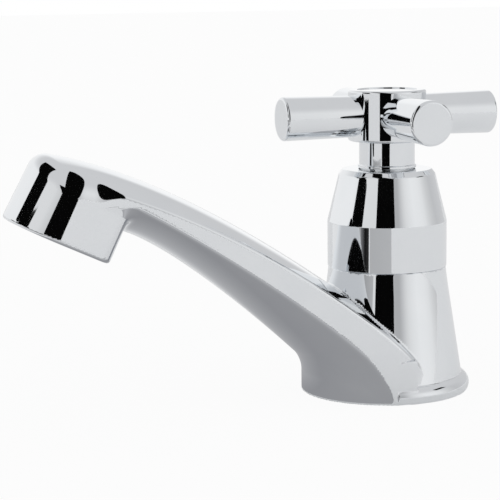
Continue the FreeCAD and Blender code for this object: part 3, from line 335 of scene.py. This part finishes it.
def gradient(field, points, step):
    """A field's slope at points, from its change over a small step each way."""
    reach = step * 0.04
    slope = np.empty_like(points)
    for axis in range(3):
        ahead, behind = points.copy(), points.copy()
        ahead[:, axis] += reach
        behind[:, axis] -= reach
        slope[:, axis] = (field(*ahead.T) - field(*behind.T)) / (2 * reach)
    return slope


def linear(hex_colour):
    """An sRGB hex colour as the linear red, green, blue and alpha of a socket."""
    share = np.array([int(hex_colour[i:i + 2], 16) for i in (1, 3, 5)]) / 255
    straight = np.where(share <= 0.04045, share / 12.92, ((share + 0.055) / 1.055) ** 2.4)
    return (*straight.tolist(), 1.0)


def add(finish, kind, settings=None, links=None):
    """Add a node to a material or world. Settings go to its own fields or its
    sockets; links join its sockets to the outputs given for them."""
    made = finish.node_tree.nodes.new(kind)
    for key, value in (settings or {}).items():
        if isinstance(key, int) or key in made.inputs:
            made.inputs[key].default_value = value
        else:
            setattr(made, key, value)
    for key, output in (links or {}).items():
        finish.node_tree.links.new(output, made.inputs[key])
    return made


def blank(name):
    """A material with only its output, its surface socket and its place on the object."""
    finish = bpy.data.materials.new(name)
    finish.use_nodes = True
    finish.node_tree.nodes.clear()
    output = add(finish, "ShaderNodeOutputMaterial")
    place = add(finish, "ShaderNodeTexCoord").outputs["Object"]
    return finish, output.inputs["Surface"], place


def piece(name, shape, finish, body, stands_for):
    """Make a mesh object in metres from points, normals and faces in millimetres."""
    points, normals, faces = shape
    widths = np.concatenate([np.full(len(face), face.shape[1]) for face in faces])
    mesh = bpy.data.meshes.new(name)
    mesh.vertices.add(len(points))
    mesh.vertices.foreach_set("co", (points * MM).astype(np.float32).ravel())
    mesh.loops.add(int(widths.sum()))
    corners = np.concatenate([face.ravel() for face in faces]).astype(np.int32)
    mesh.loops.foreach_set("vertex_index", corners)
    mesh.polygons.add(len(widths))
    mesh.polygons.foreach_set("loop_start", (np.cumsum(widths) - widths).astype(np.int32))
    mesh.update(calc_edges=True)
    mesh.shade_smooth()
    mesh.normals_split_custom_set_from_vertices(normals.astype(np.float32).tolist())
    mesh.materials.append(finish)
    made = bpy.data.objects.new(name, mesh)
    bpy.context.scene.collection.objects.link(made)
    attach(made, body)
    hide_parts(*stands_for)
    return made


# Chromium over nickel on buffed brass is a near mirror with a faintly blue cast.
# The mops leave a haze that varies over a centimetre or so, and a slow ripple in
# the skin that bends a reflected edge by a hair.
chrome, chrome_surface, place = blank("polished_chrome_plate")
haze = add(chrome, "ShaderNodeTexNoise", {"Scale": 90.0, "Detail": 3.0}, {"Vector": place})
polish = add(chrome, "ShaderNodeMapRange",
             {"From Min": 0.3, "From Max": 0.7, "To Min": 0.015, "To Max": 0.05},
             {"Value": haze.outputs["Fac"]})
tone = add(chrome, "ShaderNodeValToRGB", links={"Fac": haze.outputs["Fac"]})
tone.color_ramp.elements[0].color = linear("#E9ECEF")
tone.color_ramp.elements[1].color = linear("#F1F3F5")
ripple = add(chrome, "ShaderNodeTexNoise", {"Scale": 160.0, "Detail": 1.0}, {"Vector": place})
skin_bump = add(chrome, "ShaderNodeBump", {"Strength": 0.02, "Distance": 0.0002},
                {"Height": ripple.outputs["Fac"]})
chrome_shader = add(chrome, "ShaderNodeBsdfPrincipled", {"Metallic": 1.0}, {
    "Base Color": tone.outputs["Color"], "Roughness": polish.outputs["Result"],
    "Normal": skin_bump.outputs["Normal"]})
chrome.node_tree.links.new(chrome_shader.outputs["BSDF"], chrome_surface)

points, normals, quads = skin(casting, (-26.3, -121.3, -1.3), (26.3, 26.3, 80.3), GRID_MM)
piece("body_casting", (points, normals, [quads]), chrome, "tap", ["tap_body"])

# ---------------------------------------------------------------------------
# Flow straightener
# A grey moulded acetal insert with a ring of small holes, pushed up the nozzle
# on an O-ring. It calms the stream, and is seen only from below.
# ---------------------------------------------------------------------------


def moulded(name, dark, light, roughness, grit, bump):
    """A material for rubber and plastic: two close tones, and a fine moulded grain.

    Grit is the grain's size in millimetres, so its noise has 1000 / grit cells to
    the metre.
    """
    finish, surface, place = blank(name)
    grain = add(finish, "ShaderNodeTexNoise", {"Scale": 1000.0 / grit, "Detail": 4.0},
                {"Vector": place})
    tone = add(finish, "ShaderNodeValToRGB", links={"Fac": grain.outputs["Fac"]})
    tone.color_ramp.elements[0].position = 0.35
    tone.color_ramp.elements[0].color = linear(dark)
    tone.color_ramp.elements[1].position = 0.65
    tone.color_ramp.elements[1].color = linear(light)
    relief = add(finish, "ShaderNodeBump", {"Strength": bump, "Distance": 0.0001},
                 {"Height": grain.outputs["Fac"]})
    shader = add(finish, "ShaderNodeBsdfPrincipled", {"Roughness": roughness},
                 {"Base Color": tone.outputs["Color"], "Normal": relief.outputs["Normal"]})
    finish.node_tree.links.new(shader.outputs["BSDF"], surface)
    return finish


def dressed(finish, *names):
    """Give carried-over CAD nodes a finish."""
    for name in names:
        slots = tap[name].material_slots
        for slot in slots:
            slot.material = finish
        if not slots:
            tap[name].data.materials.append(finish)


# Moulded acetal: a satin grey with a very fine grain from the mould.
grey_plastic = moulded("moulded_grey_acetal", "#3B3C3E", "#47484A", 0.42, 0.35, 0.15)
dressed(grey_plastic, "flow_straightener")

# Nitrile rubber: near black, matt, and slightly dusty in the grain.
rubber = moulded("black_nitrile_rubber", "#141414", "#232323", 0.62, 0.25, 0.25)
dressed(rubber, "straightener_o_ring")

# ---------------------------------------------------------------------------
# Inlet tail
# A brass tube screwed up into the body against a red fibre washer. A half-inch
# pipe thread, fourteen turns to the inch, is cut along its whole length.
# ---------------------------------------------------------------------------

THREAD_RADIUS = 10.4
THREAD_PITCH = 25.4 / 14
THREAD_DEPTH = 1.16
TAIL_BORE_RADIUS = 6.5
TAIL_BOTTOM = -50.0
TAIL_TOP = 7.3
TAIL_CHAMFER = 1.0
TAIL_BORE_CHAMFER = 0.3
TAIL_FACE_RADIUS = THREAD_RADIUS - TAIL_CHAMFER - 0.05


def tail_radius(turn, height):
    """Radius of the thread's skin at an angle and a height.

    It falls and rises once in each pitch, with rounded crests and roots, and the
    whole pattern climbs by a pitch in each turn. Both ends are chamfered.
    """
    phase = height / THREAD_PITCH - turn / (2 * np.pi)
    ramp = np.abs(2 * (phase - np.floor(phase)) - 1)
    flank = np.clip((ramp - 0.14) / 0.72, 0, 1)
    cut = THREAD_RADIUS - THREAD_DEPTH * flank * flank * (3 - 2 * flank)
    end = np.minimum(height - TAIL_BOTTOM, TAIL_TOP - height)
    return np.minimum(cut, THREAD_RADIUS - TAIL_CHAMFER + end)


def wrapped(rows, columns, first=0):
    """Quads over a grid of points whose columns close on themselves."""
    row, column = np.meshgrid(np.arange(rows - 1), np.arange(columns), indexing="ij")
    here, ahead = row * columns + column, row * columns + (column + 1) % columns
    quads = np.stack([here, ahead, ahead + columns, here + columns], axis=-1)
    return quads.reshape(-1, 4) + first


def looped(points):
    """Points, normals and quads of a ring-shaped skin: a grid of rows round the
    axis whose last row joins the first.

    Each normal is the cross product of the grid's two tangents.
    """
    round_the_axis = np.roll(points, -1, 1) - np.roll(points, 1, 1)
    over_the_rows = np.roll(points, -1, 0) - np.roll(points, 1, 0)
    normals = np.cross(round_the_axis, over_the_rows)
    normals /= np.linalg.norm(normals, axis=-1, keepdims=True) + 1e-12
    rows, columns = points.shape[:2]
    quads = wrapped(rows + 1, columns) % (rows * columns)
    return points.reshape(-1, 3), normals.reshape(-1, 3), [quads]


def lathed(radii, heights, turns):
    """Points at given radii and heights, whole rows of them round the axis."""
    radii, heights, turns = np.broadcast_arrays(radii, heights, turns)
    return np.stack([radii * np.cos(turns), radii * np.sin(turns), heights], axis=-1)


TURNS = np.linspace(0, 2 * np.pi, 120, endpoint=False)[None, :]
climb = np.arange(TAIL_BOTTOM + 0.02, TAIL_TOP, THREAD_PITCH / 12)[:, None]
fall = np.linspace(TAIL_TOP, TAIL_BOTTOM, 12)[:, None]
tail = np.concatenate([
    lathed(tail_radius(TURNS, climb), climb, TURNS),
    lathed(TAIL_FACE_RADIUS, np.full((1, 1), TAIL_TOP), TURNS),
    lathed(TAIL_BORE_RADIUS + TAIL_BORE_CHAMFER, np.full((1, 1), TAIL_TOP), TURNS),
    lathed(TAIL_BORE_RADIUS, fall + np.linspace(-0.3, 0.3, 12)[:, None], TURNS),
    lathed(TAIL_BORE_RADIUS + TAIL_BORE_CHAMFER, np.full((1, 1), TAIL_BOTTOM), TURNS),
    lathed(TAIL_FACE_RADIUS, np.full((1, 1), TAIL_BOTTOM), TURNS),
])


def turned_metal(name, dark, light, rough, sheen_gap):
    """A material for metal off a lathe: two close tones in rings across the axis.

    Sheen gap is the width of a band of tool marks in millimetres; a stretched
    noise makes the marks, finer than a tenth of a millimetre on the real piece
    and drawn a few times coarser here so that they show.
    """
    finish, surface, place = blank(name)
    along = add(finish, "ShaderNodeMapping", {"Scale": (30.0, 30.0, 1000.0 / sheen_gap)},
                {"Vector": place})
    marks = add(finish, "ShaderNodeTexNoise", {"Scale": 1.0, "Detail": 3.0},
                {"Vector": along.outputs["Vector"]})
    tone = add(finish, "ShaderNodeValToRGB", links={"Fac": marks.outputs["Fac"]})
    tone.color_ramp.elements[0].position = 0.3
    tone.color_ramp.elements[0].color = linear(dark)
    tone.color_ramp.elements[1].position = 0.7
    tone.color_ramp.elements[1].color = linear(light)
    dull = add(finish, "ShaderNodeMapRange", {"To Min": rough - 0.06, "To Max": rough + 0.08},
               {"Value": marks.outputs["Fac"]})
    relief = add(finish, "ShaderNodeBump", {"Strength": 0.12, "Distance": 0.0001},
                 {"Height": marks.outputs["Fac"]})
    shader = add(finish, "ShaderNodeBsdfPrincipled", {"Metallic": 1.0}, {
        "Base Color": tone.outputs["Color"], "Roughness": dull.outputs["Result"],
        "Normal": relief.outputs["Normal"]})
    finish.node_tree.links.new(shader.outputs["BSDF"], surface)
    return finish


# Bare brass off the lathe: warm yellow, with fine rings left by the tool.
brass = turned_metal("turned_bare_brass", "#B48F4C", "#D2AE68", 0.24, 0.5)
piece("threaded_tail", looped(tail), brass, "tap", ["inlet_tail"])

# Vulcanised fibre: brick red, matt, pressed from paper, so faintly mottled.
red_fibre = moulded("pressed_red_fibre", "#6B2A1F", "#823A2A", 0.7, 0.8, 0.2)
dressed(red_fibre, "tail_seal")

# ---------------------------------------------------------------------------
# Clamp
# A rubber ring in the base beds on the deck. Under the deck a steel washer and a
# flanged brass backnut, run up the tail, pull the tap down.
# ---------------------------------------------------------------------------

NUT_BOTTOM = -27.5
NUT_TOP = -20.5
NUT_CORNER_RADIUS = 13.9
NUT_FLANGE_RADIUS = 15.5
NUT_FLANGE_HEIGHT = 1.6
NUT_FLANGE_ROUND = 0.25
NUT_BORE_RADIUS = 10.45
NUT_BORE_CHAMFER = 0.5
NUT_CONE_STEP = 0.35              # the cone starts this far inside the flats


def nut_radius(turn, height):
    """Radius of the nut's outside at an angle and a height.

    A hexagon's radius is its flat's distance over the cosine of the angle from
    the middle of the flat. A cone of thirty degrees takes off its lower corners,
    and the flange stands out at the top.
    """
    flat = NUT_CORNER_RADIUS * np.cos(np.pi / 6)
    from_middle = (turn % (np.pi / 3)) - np.pi / 6
    hexagon = flat / np.cos(from_middle)
    cone = flat - NUT_CONE_STEP + (height - NUT_BOTTOM) / np.tan(np.pi / 6)
    body = np.minimum(hexagon, cone)
    edge = np.clip((height - (NUT_TOP - NUT_FLANGE_HEIGHT)) / NUT_FLANGE_ROUND, 0, 1)
    return body + (NUT_FLANGE_RADIUS - body) * np.sqrt(edge)


nut_heights = np.concatenate([
    np.linspace(NUT_BOTTOM, NUT_BOTTOM + 1.4, 9),
    np.linspace(NUT_BOTTOM + 1.8, NUT_TOP - NUT_FLANGE_HEIGHT, 5),
    NUT_TOP - NUT_FLANGE_HEIGHT + NUT_FLANGE_ROUND * np.array([0.01, 0.06, 0.2, 0.5, 1.0]),
    [NUT_TOP - 0.2],
])[:, None]
FINE_TURNS = np.linspace(0, 2 * np.pi, 360, endpoint=False)[None, :]
backnut = np.concatenate([
    lathed(nut_radius(FINE_TURNS, nut_heights), nut_heights, FINE_TURNS),
    lathed(NUT_FLANGE_RADIUS - 0.2, np.full((1, 1), NUT_TOP), FINE_TURNS),
    lathed(NUT_BORE_RADIUS + NUT_BORE_CHAMFER, np.full((1, 1), NUT_TOP), FINE_TURNS),
    lathed(NUT_BORE_RADIUS, np.array([[NUT_TOP - NUT_BORE_CHAMFER],
                                      [NUT_BOTTOM + NUT_BORE_CHAMFER]]), FINE_TURNS),
    lathed(NUT_BORE_RADIUS + NUT_BORE_CHAMFER, np.full((1, 1), NUT_BOTTOM), FINE_TURNS),
])
piece("flanged_backnut", looped(backnut), brass, "tap", ["backnut"])

# Stainless strip: cool grey, satin from rolling.
steel = turned_metal("rolled_stainless_steel", "#8E8F8F", "#A9AAA9", 0.3, 0.8)
dressed(steel, "back_washer")
dressed(rubber, "base_gasket")

# ---------------------------------------------------------------------------
# Valve
# Inside the body: a steel seat, the brass headwork screwed down on a fibre
# washer, and the jumper with its rubber washer. The body and shroud hide them.
# ---------------------------------------------------------------------------

dressed(steel, "valve_seat")
dressed(red_fibre, "headwork_gasket")
dressed(brass, "headwork_body", "jumper_valve", "washer_nut", "spindle")
dressed(rubber, "tap_washer", "spindle_o_rings")

# ---------------------------------------------------------------------------
# Shroud
# A turned brass cover, straight and then tapered to a rounded top edge, chrome
# plated. It screws down over the headwork onto the body, flush with the column.
# ---------------------------------------------------------------------------


def rounded(corners, steps=8):
    """An outline of (radius, height, rounding) corners, as points and normals.

    Each corner becomes an arc that meets both its sides without a kink: it starts
    as far back as the rounding times the tangent of half the turn. A normal is
    the right-hand side of the way the outline runs. An outline that starts on the
    axis ends there too; any other closes on itself.
    """
    corners = np.array(corners, float)
    spot, rounding = corners[:, :2], corners[:, 2]
    come = spot - np.roll(spot, 1, 0)
    come /= np.linalg.norm(come, axis=1, keepdims=True)
    go = np.roll(come, -1, 0)
    if spot[0, 0] == 0:
        come[0], go[-1] = go[0], come[-1]
    start = np.arctan2(-come[:, 0], come[:, 1])
    turn = np.arctan2(come[:, 0] * go[:, 1] - come[:, 1] * go[:, 0], (come * go).sum(1))
    angle = start[:, None] + turn[:, None] * np.linspace(0, 1, steps)[None, :]
    normal = np.stack([np.cos(angle), np.sin(angle)], axis=-1)
    side = (np.sign(turn) * rounding)[:, None]
    centre = spot - come * (rounding * np.tan(np.abs(turn) / 2))[:, None] - side * normal[:, 0]
    points = centre[:, None] + side[:, None] * normal
    keep = np.ones((len(corners), steps), bool)
    if spot[0, 0] == 0:
        keep[0, 1:] = keep[-1, 1:] = False
    return points[keep], normal[keep]


def spun(corners, columns=256, steps=8):
    """Turn an outline about the axis. Where it starts and ends on the axis, each
    end is one point with a fan of triangles round it."""
    outline, across = rounded(corners, steps)
    turns = np.linspace(0, 2 * np.pi, columns, endpoint=False)[None, :]
    points = lathed(outline[:, :1], outline[:, 1:], turns)
    normals = lathed(across[:, :1], across[:, 1:], turns)
    if corners[0][0] > 0:
        rows = len(outline)
        quads = wrapped(rows + 1, columns) % (rows * columns)
        return points.reshape(-1, 3), normals.reshape(-1, 3), [quads]
    first, last = points[0, :1], points[-1, :1]
    rows = len(outline) - 2
    column = np.arange(columns)
    ahead = (column + 1) % columns
    top = 1 + (rows - 1) * columns
    tip = np.full(columns, 1 + rows * columns)
    fans = np.concatenate([
        np.stack([np.zeros(columns, int), ahead + 1, column + 1], axis=1),
        np.stack([top + column, top + ahead, tip], axis=1),
    ])
    points = np.concatenate([first, points[1:-1].reshape(-1, 3), last])
    normals = np.concatenate([normals[0, :1], normals[1:-1].reshape(-1, 3), normals[-1, :1]])
    return points, normals, [wrapped(rows, columns, 1), fans]


SHROUD_BORE_RADIUS = 15.65
SHROUD_TOP = 67.2
SHROUD_HOLE_RADIUS = 8.5
shroud = spun([
    (SHROUD_BORE_RADIUS, JOINT_HEIGHT, 0.1),
    (COLUMN_RADIUS, JOINT_HEIGHT, 0.2),
    (COLUMN_RADIUS, 51.55, 0.8),
    (14.45, 65.75, 1.4),
    (13.3, SHROUD_TOP, 0.6),
    (SHROUD_HOLE_RADIUS, SHROUD_TOP, 0.3),
    (SHROUD_HOLE_RADIUS, 65.0, 0.1),
    (10.5, 65.0, 0.1),
    (10.5, 62.8, 0.1),
    (12.0, 62.8, 0.1),
    (12.0, 64.8, 0.1),
    (16.2, 50.75, 0.3),
    (16.2, 43.4, 0.1),
    (SHROUD_BORE_RADIUS, 43.4, 0.1),
])
piece("tapered_shroud", shroud, chrome, "tap", ["shroud"])

# Natural acetal: a slightly translucent white, smooth from the mould.
white_acetal = moulded("moulded_white_acetal", "#D9D8D2", "#E4E3DE", 0.38, 0.6, 0.08)
dressed(white_acetal, "guide_bush")
dressed(rubber, "shroud_o_ring")

# ---------------------------------------------------------------------------
# Cross handle
# A turned brass hub on a splined spindle carries four slightly flared arms,
# screwed into it. All are buffed and chrome plated. A screw holds the hub down.
# ---------------------------------------------------------------------------

HUB_RADIUS = 11.65
HUB_BOTTOM = 75.6
HUB_TOP = 90.9
CAP_SEAT = 88.4
hub = spun([
    (0, 61.3, 0),
    (8.1, 61.3, 0.3),
    (8.1, 67.5, 0.05),
    (8.75, 67.5, 0.25),
    (8.75, 68.5, 0.25),
    (8.32, 68.5, 0.15),
    (8.32, HUB_BOTTOM, 0.25),
    (HUB_RADIUS, HUB_BOTTOM, 0.8),
    (HUB_RADIUS, HUB_TOP, 0.8),
    (8.87, HUB_TOP, 0.15),
    (8.87, CAP_SEAT, 0.1),
    (0, CAP_SEAT, 0),
])
piece("handle_hub_turned", hub, chrome, "handle", ["handle_hub"])

ARM_HEIGHT = 83.1
ARM_REACH = 33.5
ARM_ROOT_REACH = 9.0
ARM_ROOT_RADIUS = 6.15
ARM_END_RADIUS = 6.5
ARM_ROUND = 0.9
arm_points, arm_normals, arm_faces = spun([
    (0, ARM_ROOT_REACH, 0),
    (ARM_ROOT_RADIUS, ARM_ROOT_REACH, 0.1),
    (ARM_END_RADIUS, ARM_REACH, ARM_ROUND),
    (0, ARM_REACH, 0),
], columns=160, steps=10)
ARMS = {"arm_right": (1, 0), "arm_back": (0, 1), "arm_left": (-1, 0), "arm_front": (0, -1)}
for arm, (out_x, out_y) in ARMS.items():
    turn = np.array([[-out_y, out_x, 0], [0, 0, 1], [out_x, out_y, 0]], float)
    placed = arm_points @ turn + np.array([0, 0, ARM_HEIGHT])
    piece(arm + "_turned", (placed, arm_normals @ turn, arm_faces), chrome, "handle", [arm])

cap = spun([
    (0, CAP_SEAT + 0.02, 0),
    (8.82, CAP_SEAT + 0.02, 0.1),
    (8.82, 90.6, 0.3),
    (0, 90.6, 0),
])
piece("index_cap_turned", cap, chrome, "handle", ["index_cap"])
dressed(steel, "handle_screw", "spring_washer")

# ---------------------------------------------------------------------------
# Deck, light and camera
# The tap stands on a pale deck under soft, even light from all round.
# ---------------------------------------------------------------------------

deck_mesh = bpy.data.meshes.new("pale_deck")
edge = 6.0
deck_mesh.from_pydata([(-edge, -edge, 0), (edge, -edge, 0), (edge, edge, 0), (-edge, edge, 0)],
                      [], [(0, 1, 2, 3)])
deck = bpy.data.objects.new("pale_deck", deck_mesh)
bpy.context.scene.collection.objects.link(deck)

# Sealed white stone: even and matt. Seen straight, most of its tone is the studio's
# white. In the chrome most of it is the stone's own pale grey, which takes the
# tap's soft shadow.
stone, stone_surface, place = blank("sealed_white_stone")
fleck = add(stone, "ShaderNodeTexNoise", {"Scale": 60.0, "Detail": 2.0}, {"Vector": place})
tone = add(stone, "ShaderNodeValToRGB", links={"Fac": fleck.outputs["Fac"]})
tone.color_ramp.elements[0].color = linear("#F3F3F3")
tone.color_ramp.elements[1].color = linear("#F7F7F7")
matt = add(stone, "ShaderNodeBsdfDiffuse", {"Roughness": 0.6}, {"Color": tone.outputs["Color"]})
glow = add(stone, "ShaderNodeEmission", {"Color": linear("#FFFFFF"), "Strength": 1.0})
path = add(stone, "ShaderNodeLightPath")
straight = add(stone, "ShaderNodeMath", {"operation": "MAXIMUM"},
               {0: path.outputs["Is Camera Ray"], 1: path.outputs["Is Transmission Ray"]})
mirrored = add(stone, "ShaderNodeMath", {"operation": "MULTIPLY", 1: 0.3},
               {0: path.outputs["Is Glossy Ray"]})
share = add(stone, "ShaderNodeMath", {"operation": "MULTIPLY_ADD", 1: 0.93},
            {0: straight.outputs["Value"], 2: mirrored.outputs["Value"]})
floor_mix = add(stone, "ShaderNodeMixShader", links={
    "Fac": share.outputs["Value"], 1: matt.outputs["BSDF"], 2: glow.outputs["Emission"]})
stone.node_tree.links.new(floor_mix.outputs["Shader"], stone_surface)
deck_mesh.materials.append(stone)

world = bpy.data.worlds.new("white_studio")
world.use_nodes = True
world.node_tree.nodes.clear()
bpy.context.scene.world = world
world_output = add(world, "ShaderNodeOutputWorld")
heading_in = add(world, "ShaderNodeTexCoord")
height = add(world, "ShaderNodeSeparateXYZ", links={"Vector": heading_in.outputs["Generated"]})
overhead = add(world, "ShaderNodeMapRange", {
    "interpolation_type": "SMOOTHSTEP", "From Min": 0.35, "From Max": 0.8},
    {"Value": height.outputs["Z"]})
# Tone of the walls round the tap, from its left side by way of the front, the
# right and the back: each stop is an angle in degrees and a colour.
WALLS = [(-90, "#F7F7F7"), (-15, "#F7F7F7"), (20, "#E6E6E6"), (45, "#E4E4E4"), (84, "#B4B4B5"),
         (91, "#B6B6B7"), (97, "#CBCBCC"), (102, "#DBDBDB"), (107, "#E5E5E5"), (114, "#ECECEC"),
         (125, "#F3F3F3"), (140, "#F1F1F1"), (150, "#EBEBEB"), (158, "#DFDFDF"),
         (166, "#D5D5D5"), (180, "#C9C9CA"), (208, "#D2D2D3"), (237, "#D2D2D3"),
         (242, "#FFFFFF"), (263, "#FFFFFF"), (270, "#F7F7F7")]
round_about = add(world, "ShaderNodeTexGradient", {"gradient_type": "RADIAL"},
                  {"Vector": heading_in.outputs["Generated"]})
walls = add(world, "ShaderNodeValToRGB", links={"Fac": round_about.outputs["Fac"]})
for angle, _ in WALLS[1:-1]:
    walls.color_ramp.elements.new((angle + 90) / 360)
for stop, (_, hex_tone) in zip(walls.color_ramp.elements, WALLS):
    stop.color = linear(hex_tone)
room = add(world, "ShaderNodeMix", {"data_type": "RGBA", 7: linear("#D6D6D7")},
           {0: overhead.outputs["Result"], 6: walls.outputs["Color"]})
sky = add(world, "ShaderNodeBackground", {"Strength": 1.0}, {"Color": room.outputs[2]})
world.node_tree.links.new(sky.outputs["Background"], world_output.inputs["Surface"])


CARD_ROWS = 9


def card(name, corners, tones):
    """A sheet between four corners in millimetres, seen in gloss alone.

    A place on it is the weighted mean of the corners. Its tone runs evenly
    through the given ones from its first side to its second.
    """
    shares = np.linspace(0, 1, CARD_ROWS)
    u, v = (share[..., None] for share in np.meshgrid(shares, shares, indexing="ij"))
    low_first, low_last, high_last, high_first = np.array(corners, float)
    points = ((1 - u) * ((1 - v) * low_first + v * high_first)
              + u * ((1 - v) * low_last + v * high_last))
    index = np.arange(CARD_ROWS ** 2).reshape(CARD_ROWS, CARD_ROWS)
    faces = np.stack([index[:-1, :-1], index[1:, :-1], index[1:, 1:], index[:-1, 1:]], -1)
    sheet = bpy.data.meshes.new(name)
    sheet.from_pydata((points.reshape(-1, 3) * MM).tolist(), [], faces.reshape(-1, 4).tolist())
    along = sheet.attributes.new("along", "FLOAT", "POINT")
    along.data.foreach_set("value", np.repeat(shares, CARD_ROWS).astype(np.float32))
    paint, surface, _ = blank(name + "_paint")
    across = add(paint, "ShaderNodeAttribute", {"attribute_name": "along"})
    ramp = add(paint, "ShaderNodeValToRGB", links={"Fac": across.outputs["Fac"]})
    for place_at in np.linspace(0, 1, len(tones))[1:-1]:
        ramp.color_ramp.elements.new(place_at)
    for stop, hex_tone in zip(ramp.color_ramp.elements, tones):
        stop.color = linear(hex_tone)
    shine = add(paint, "ShaderNodeEmission", {"Strength": 1.0}, {"Color": ramp.outputs["Color"]})
    paint.node_tree.links.new(shine.outputs["Emission"], surface)
    sheet.materials.append(paint)
    stand = bpy.data.objects.new(name, sheet)
    bpy.context.scene.collection.objects.link(stand)
    stand.visible_camera = stand.visible_diffuse = stand.visible_shadow = False
    stand.visible_transmission = False


# Black cards stand and hang round the tap, out of view, and draw the dark bands in
# the chrome. Grey ones, whose tone changes softly along them, shade what lies between.
BLACK = "#060606"
card("tall_black_card", [(268, -250, 10), (458, -89, 2), (642, -79, 390), (268, -250, 300)],
     [BLACK, BLACK])
card("tall_slope_card", [(458, -89, 30), (458, -88, 30), (290, -28, 190), (290, -120, 190)],
     [BLACK, BLACK])
card("right_high_card", [(290, -205, 190), (290, -28, 190), (-25, -42, 190), (-12, -56, 190)],
     [BLACK, BLACK])
card("left_black_card", [(-60, -390, 105), (108, -388, 105), (148, -388, 196), (5, -388, 196)],
     [BLACK, BLACK])
card("left_high_card", [(-67, -390, 190), (104, -390, 190), (22, -115, 190), (-42, -135, 190)],
     [BLACK, BLACK])
card("left_hub_card", [(-41.6, -195.6, 60.5), (48.4, -194, 60.5), (48.4, -194, 75),
                       (-41.6, -195.6, 75)], [BLACK, BLACK])
card("left_neck_card", [(-14, -199.5, 51), (48.4, -194, 51), (48.4, -194, 60.5),
                        (-14, -199.5, 60.5)], [BLACK, BLACK])
card("left_grey_card", [(14, -199.5, 31), (136, -146, 31), (136, -146, 50.5), (14, -199.5, 50.5)],
     ["#A0A0A1", "#A2A2A3", "#B8B8B9"])
card("back_high_card", [(147, 237, 193), (30, 265, 193), (30, 265, 262), (147, 237, 262)],
     [BLACK, BLACK])
# A painted shadow just above the deck, seen only in the chrome, where the spout keeps the light
# off it.
card("floor_painted_shadow_card", [(-70, -150, 0.6), (110, -150, 0.6), (110, -8, 0.6), (-70, -8, 0.6)],
     ["#D8D8D9", "#B2B2B4", "#969699", "#A0A0A2", "#BCBCBE", "#A8A8AA"])


FLOOR_CARD_NEAR, FLOOR_CARD_FAR = 225, 380
FLOOR_CARD_HEIGHT = 1.0


def floor_card(name, start, end, tones):
    """A card that lies on the deck, between two angles round the spindle."""
    rim = [(FLOOR_CARD_NEAR, start), (FLOOR_CARD_NEAR, end),
           (FLOOR_CARD_FAR, end), (FLOOR_CARD_FAR, start)]
    card(name, [(radius * np.sin(angle), -radius * np.cos(angle), FLOOR_CARD_HEIGHT)
                for radius, angle in ((far, np.radians(degrees)) for far, degrees in rim)], tones)


# Cards on the deck, seen only in the chrome, paint what the chrome reflects there: painted shade
# in pale and grey tones, and a painted dark streak.
floor_card("floor_white_card", -60, -20, ["#EEEEEE", "#E8E8E8"])
floor_card("floor_pale_card", -20, 18, ["#E8E8E8", "#D8D8D8", "#A0A0A0"])
floor_card("floor_streak_card", 18, 34, ["#7A7A7C", "#141414", "#303030"])
floor_card("floor_grey_card", 36, 76, ["#B6B6B7", "#BCBCBD"])

# The camera stands half a metre off, to the right of the spout, a little above
# the handle, and looks slightly down and to the left of the spindle.
camera_data = bpy.data.cameras.new("camera")
camera_data.sensor_width = 36.0
camera_data.lens = 119.91
camera = bpy.data.objects.new("camera", camera_data)
bpy.context.scene.collection.objects.link(camera)
AZIMUTH, YAW, PITCH, ROLL = np.radians([67.64, 4.759, 9.20, -0.7252])
EYE_REACH, EYE_HEIGHT = 0.5, 0.12344
eye = np.array([np.sin(AZIMUTH) * EYE_REACH, -np.cos(AZIMUTH) * EYE_REACH, EYE_HEIGHT])
heading = np.array([-np.sin(AZIMUTH), np.cos(AZIMUTH)])
heading = np.array([[np.cos(YAW), -np.sin(YAW)], [np.sin(YAW), np.cos(YAW)]]) @ heading
ahead = np.array([*(heading * np.cos(PITCH)), -np.sin(PITCH)])
right = np.cross(ahead, [0, 0, 1])
right /= np.linalg.norm(right)
up = np.cross(right, ahead)
right, up = (right * np.cos(ROLL) + up * np.sin(ROLL),
             up * np.cos(ROLL) - right * np.sin(ROLL))
rows = zip(np.stack([right, up, -ahead], 1), eye)
camera.matrix_world = Matrix([(*row, at) for row, at in rows] + [(0, 0, 0, 1)])
bpy.context.scene.camera = camera
bpy.context.scene.view_settings.view_transform = "Standard"
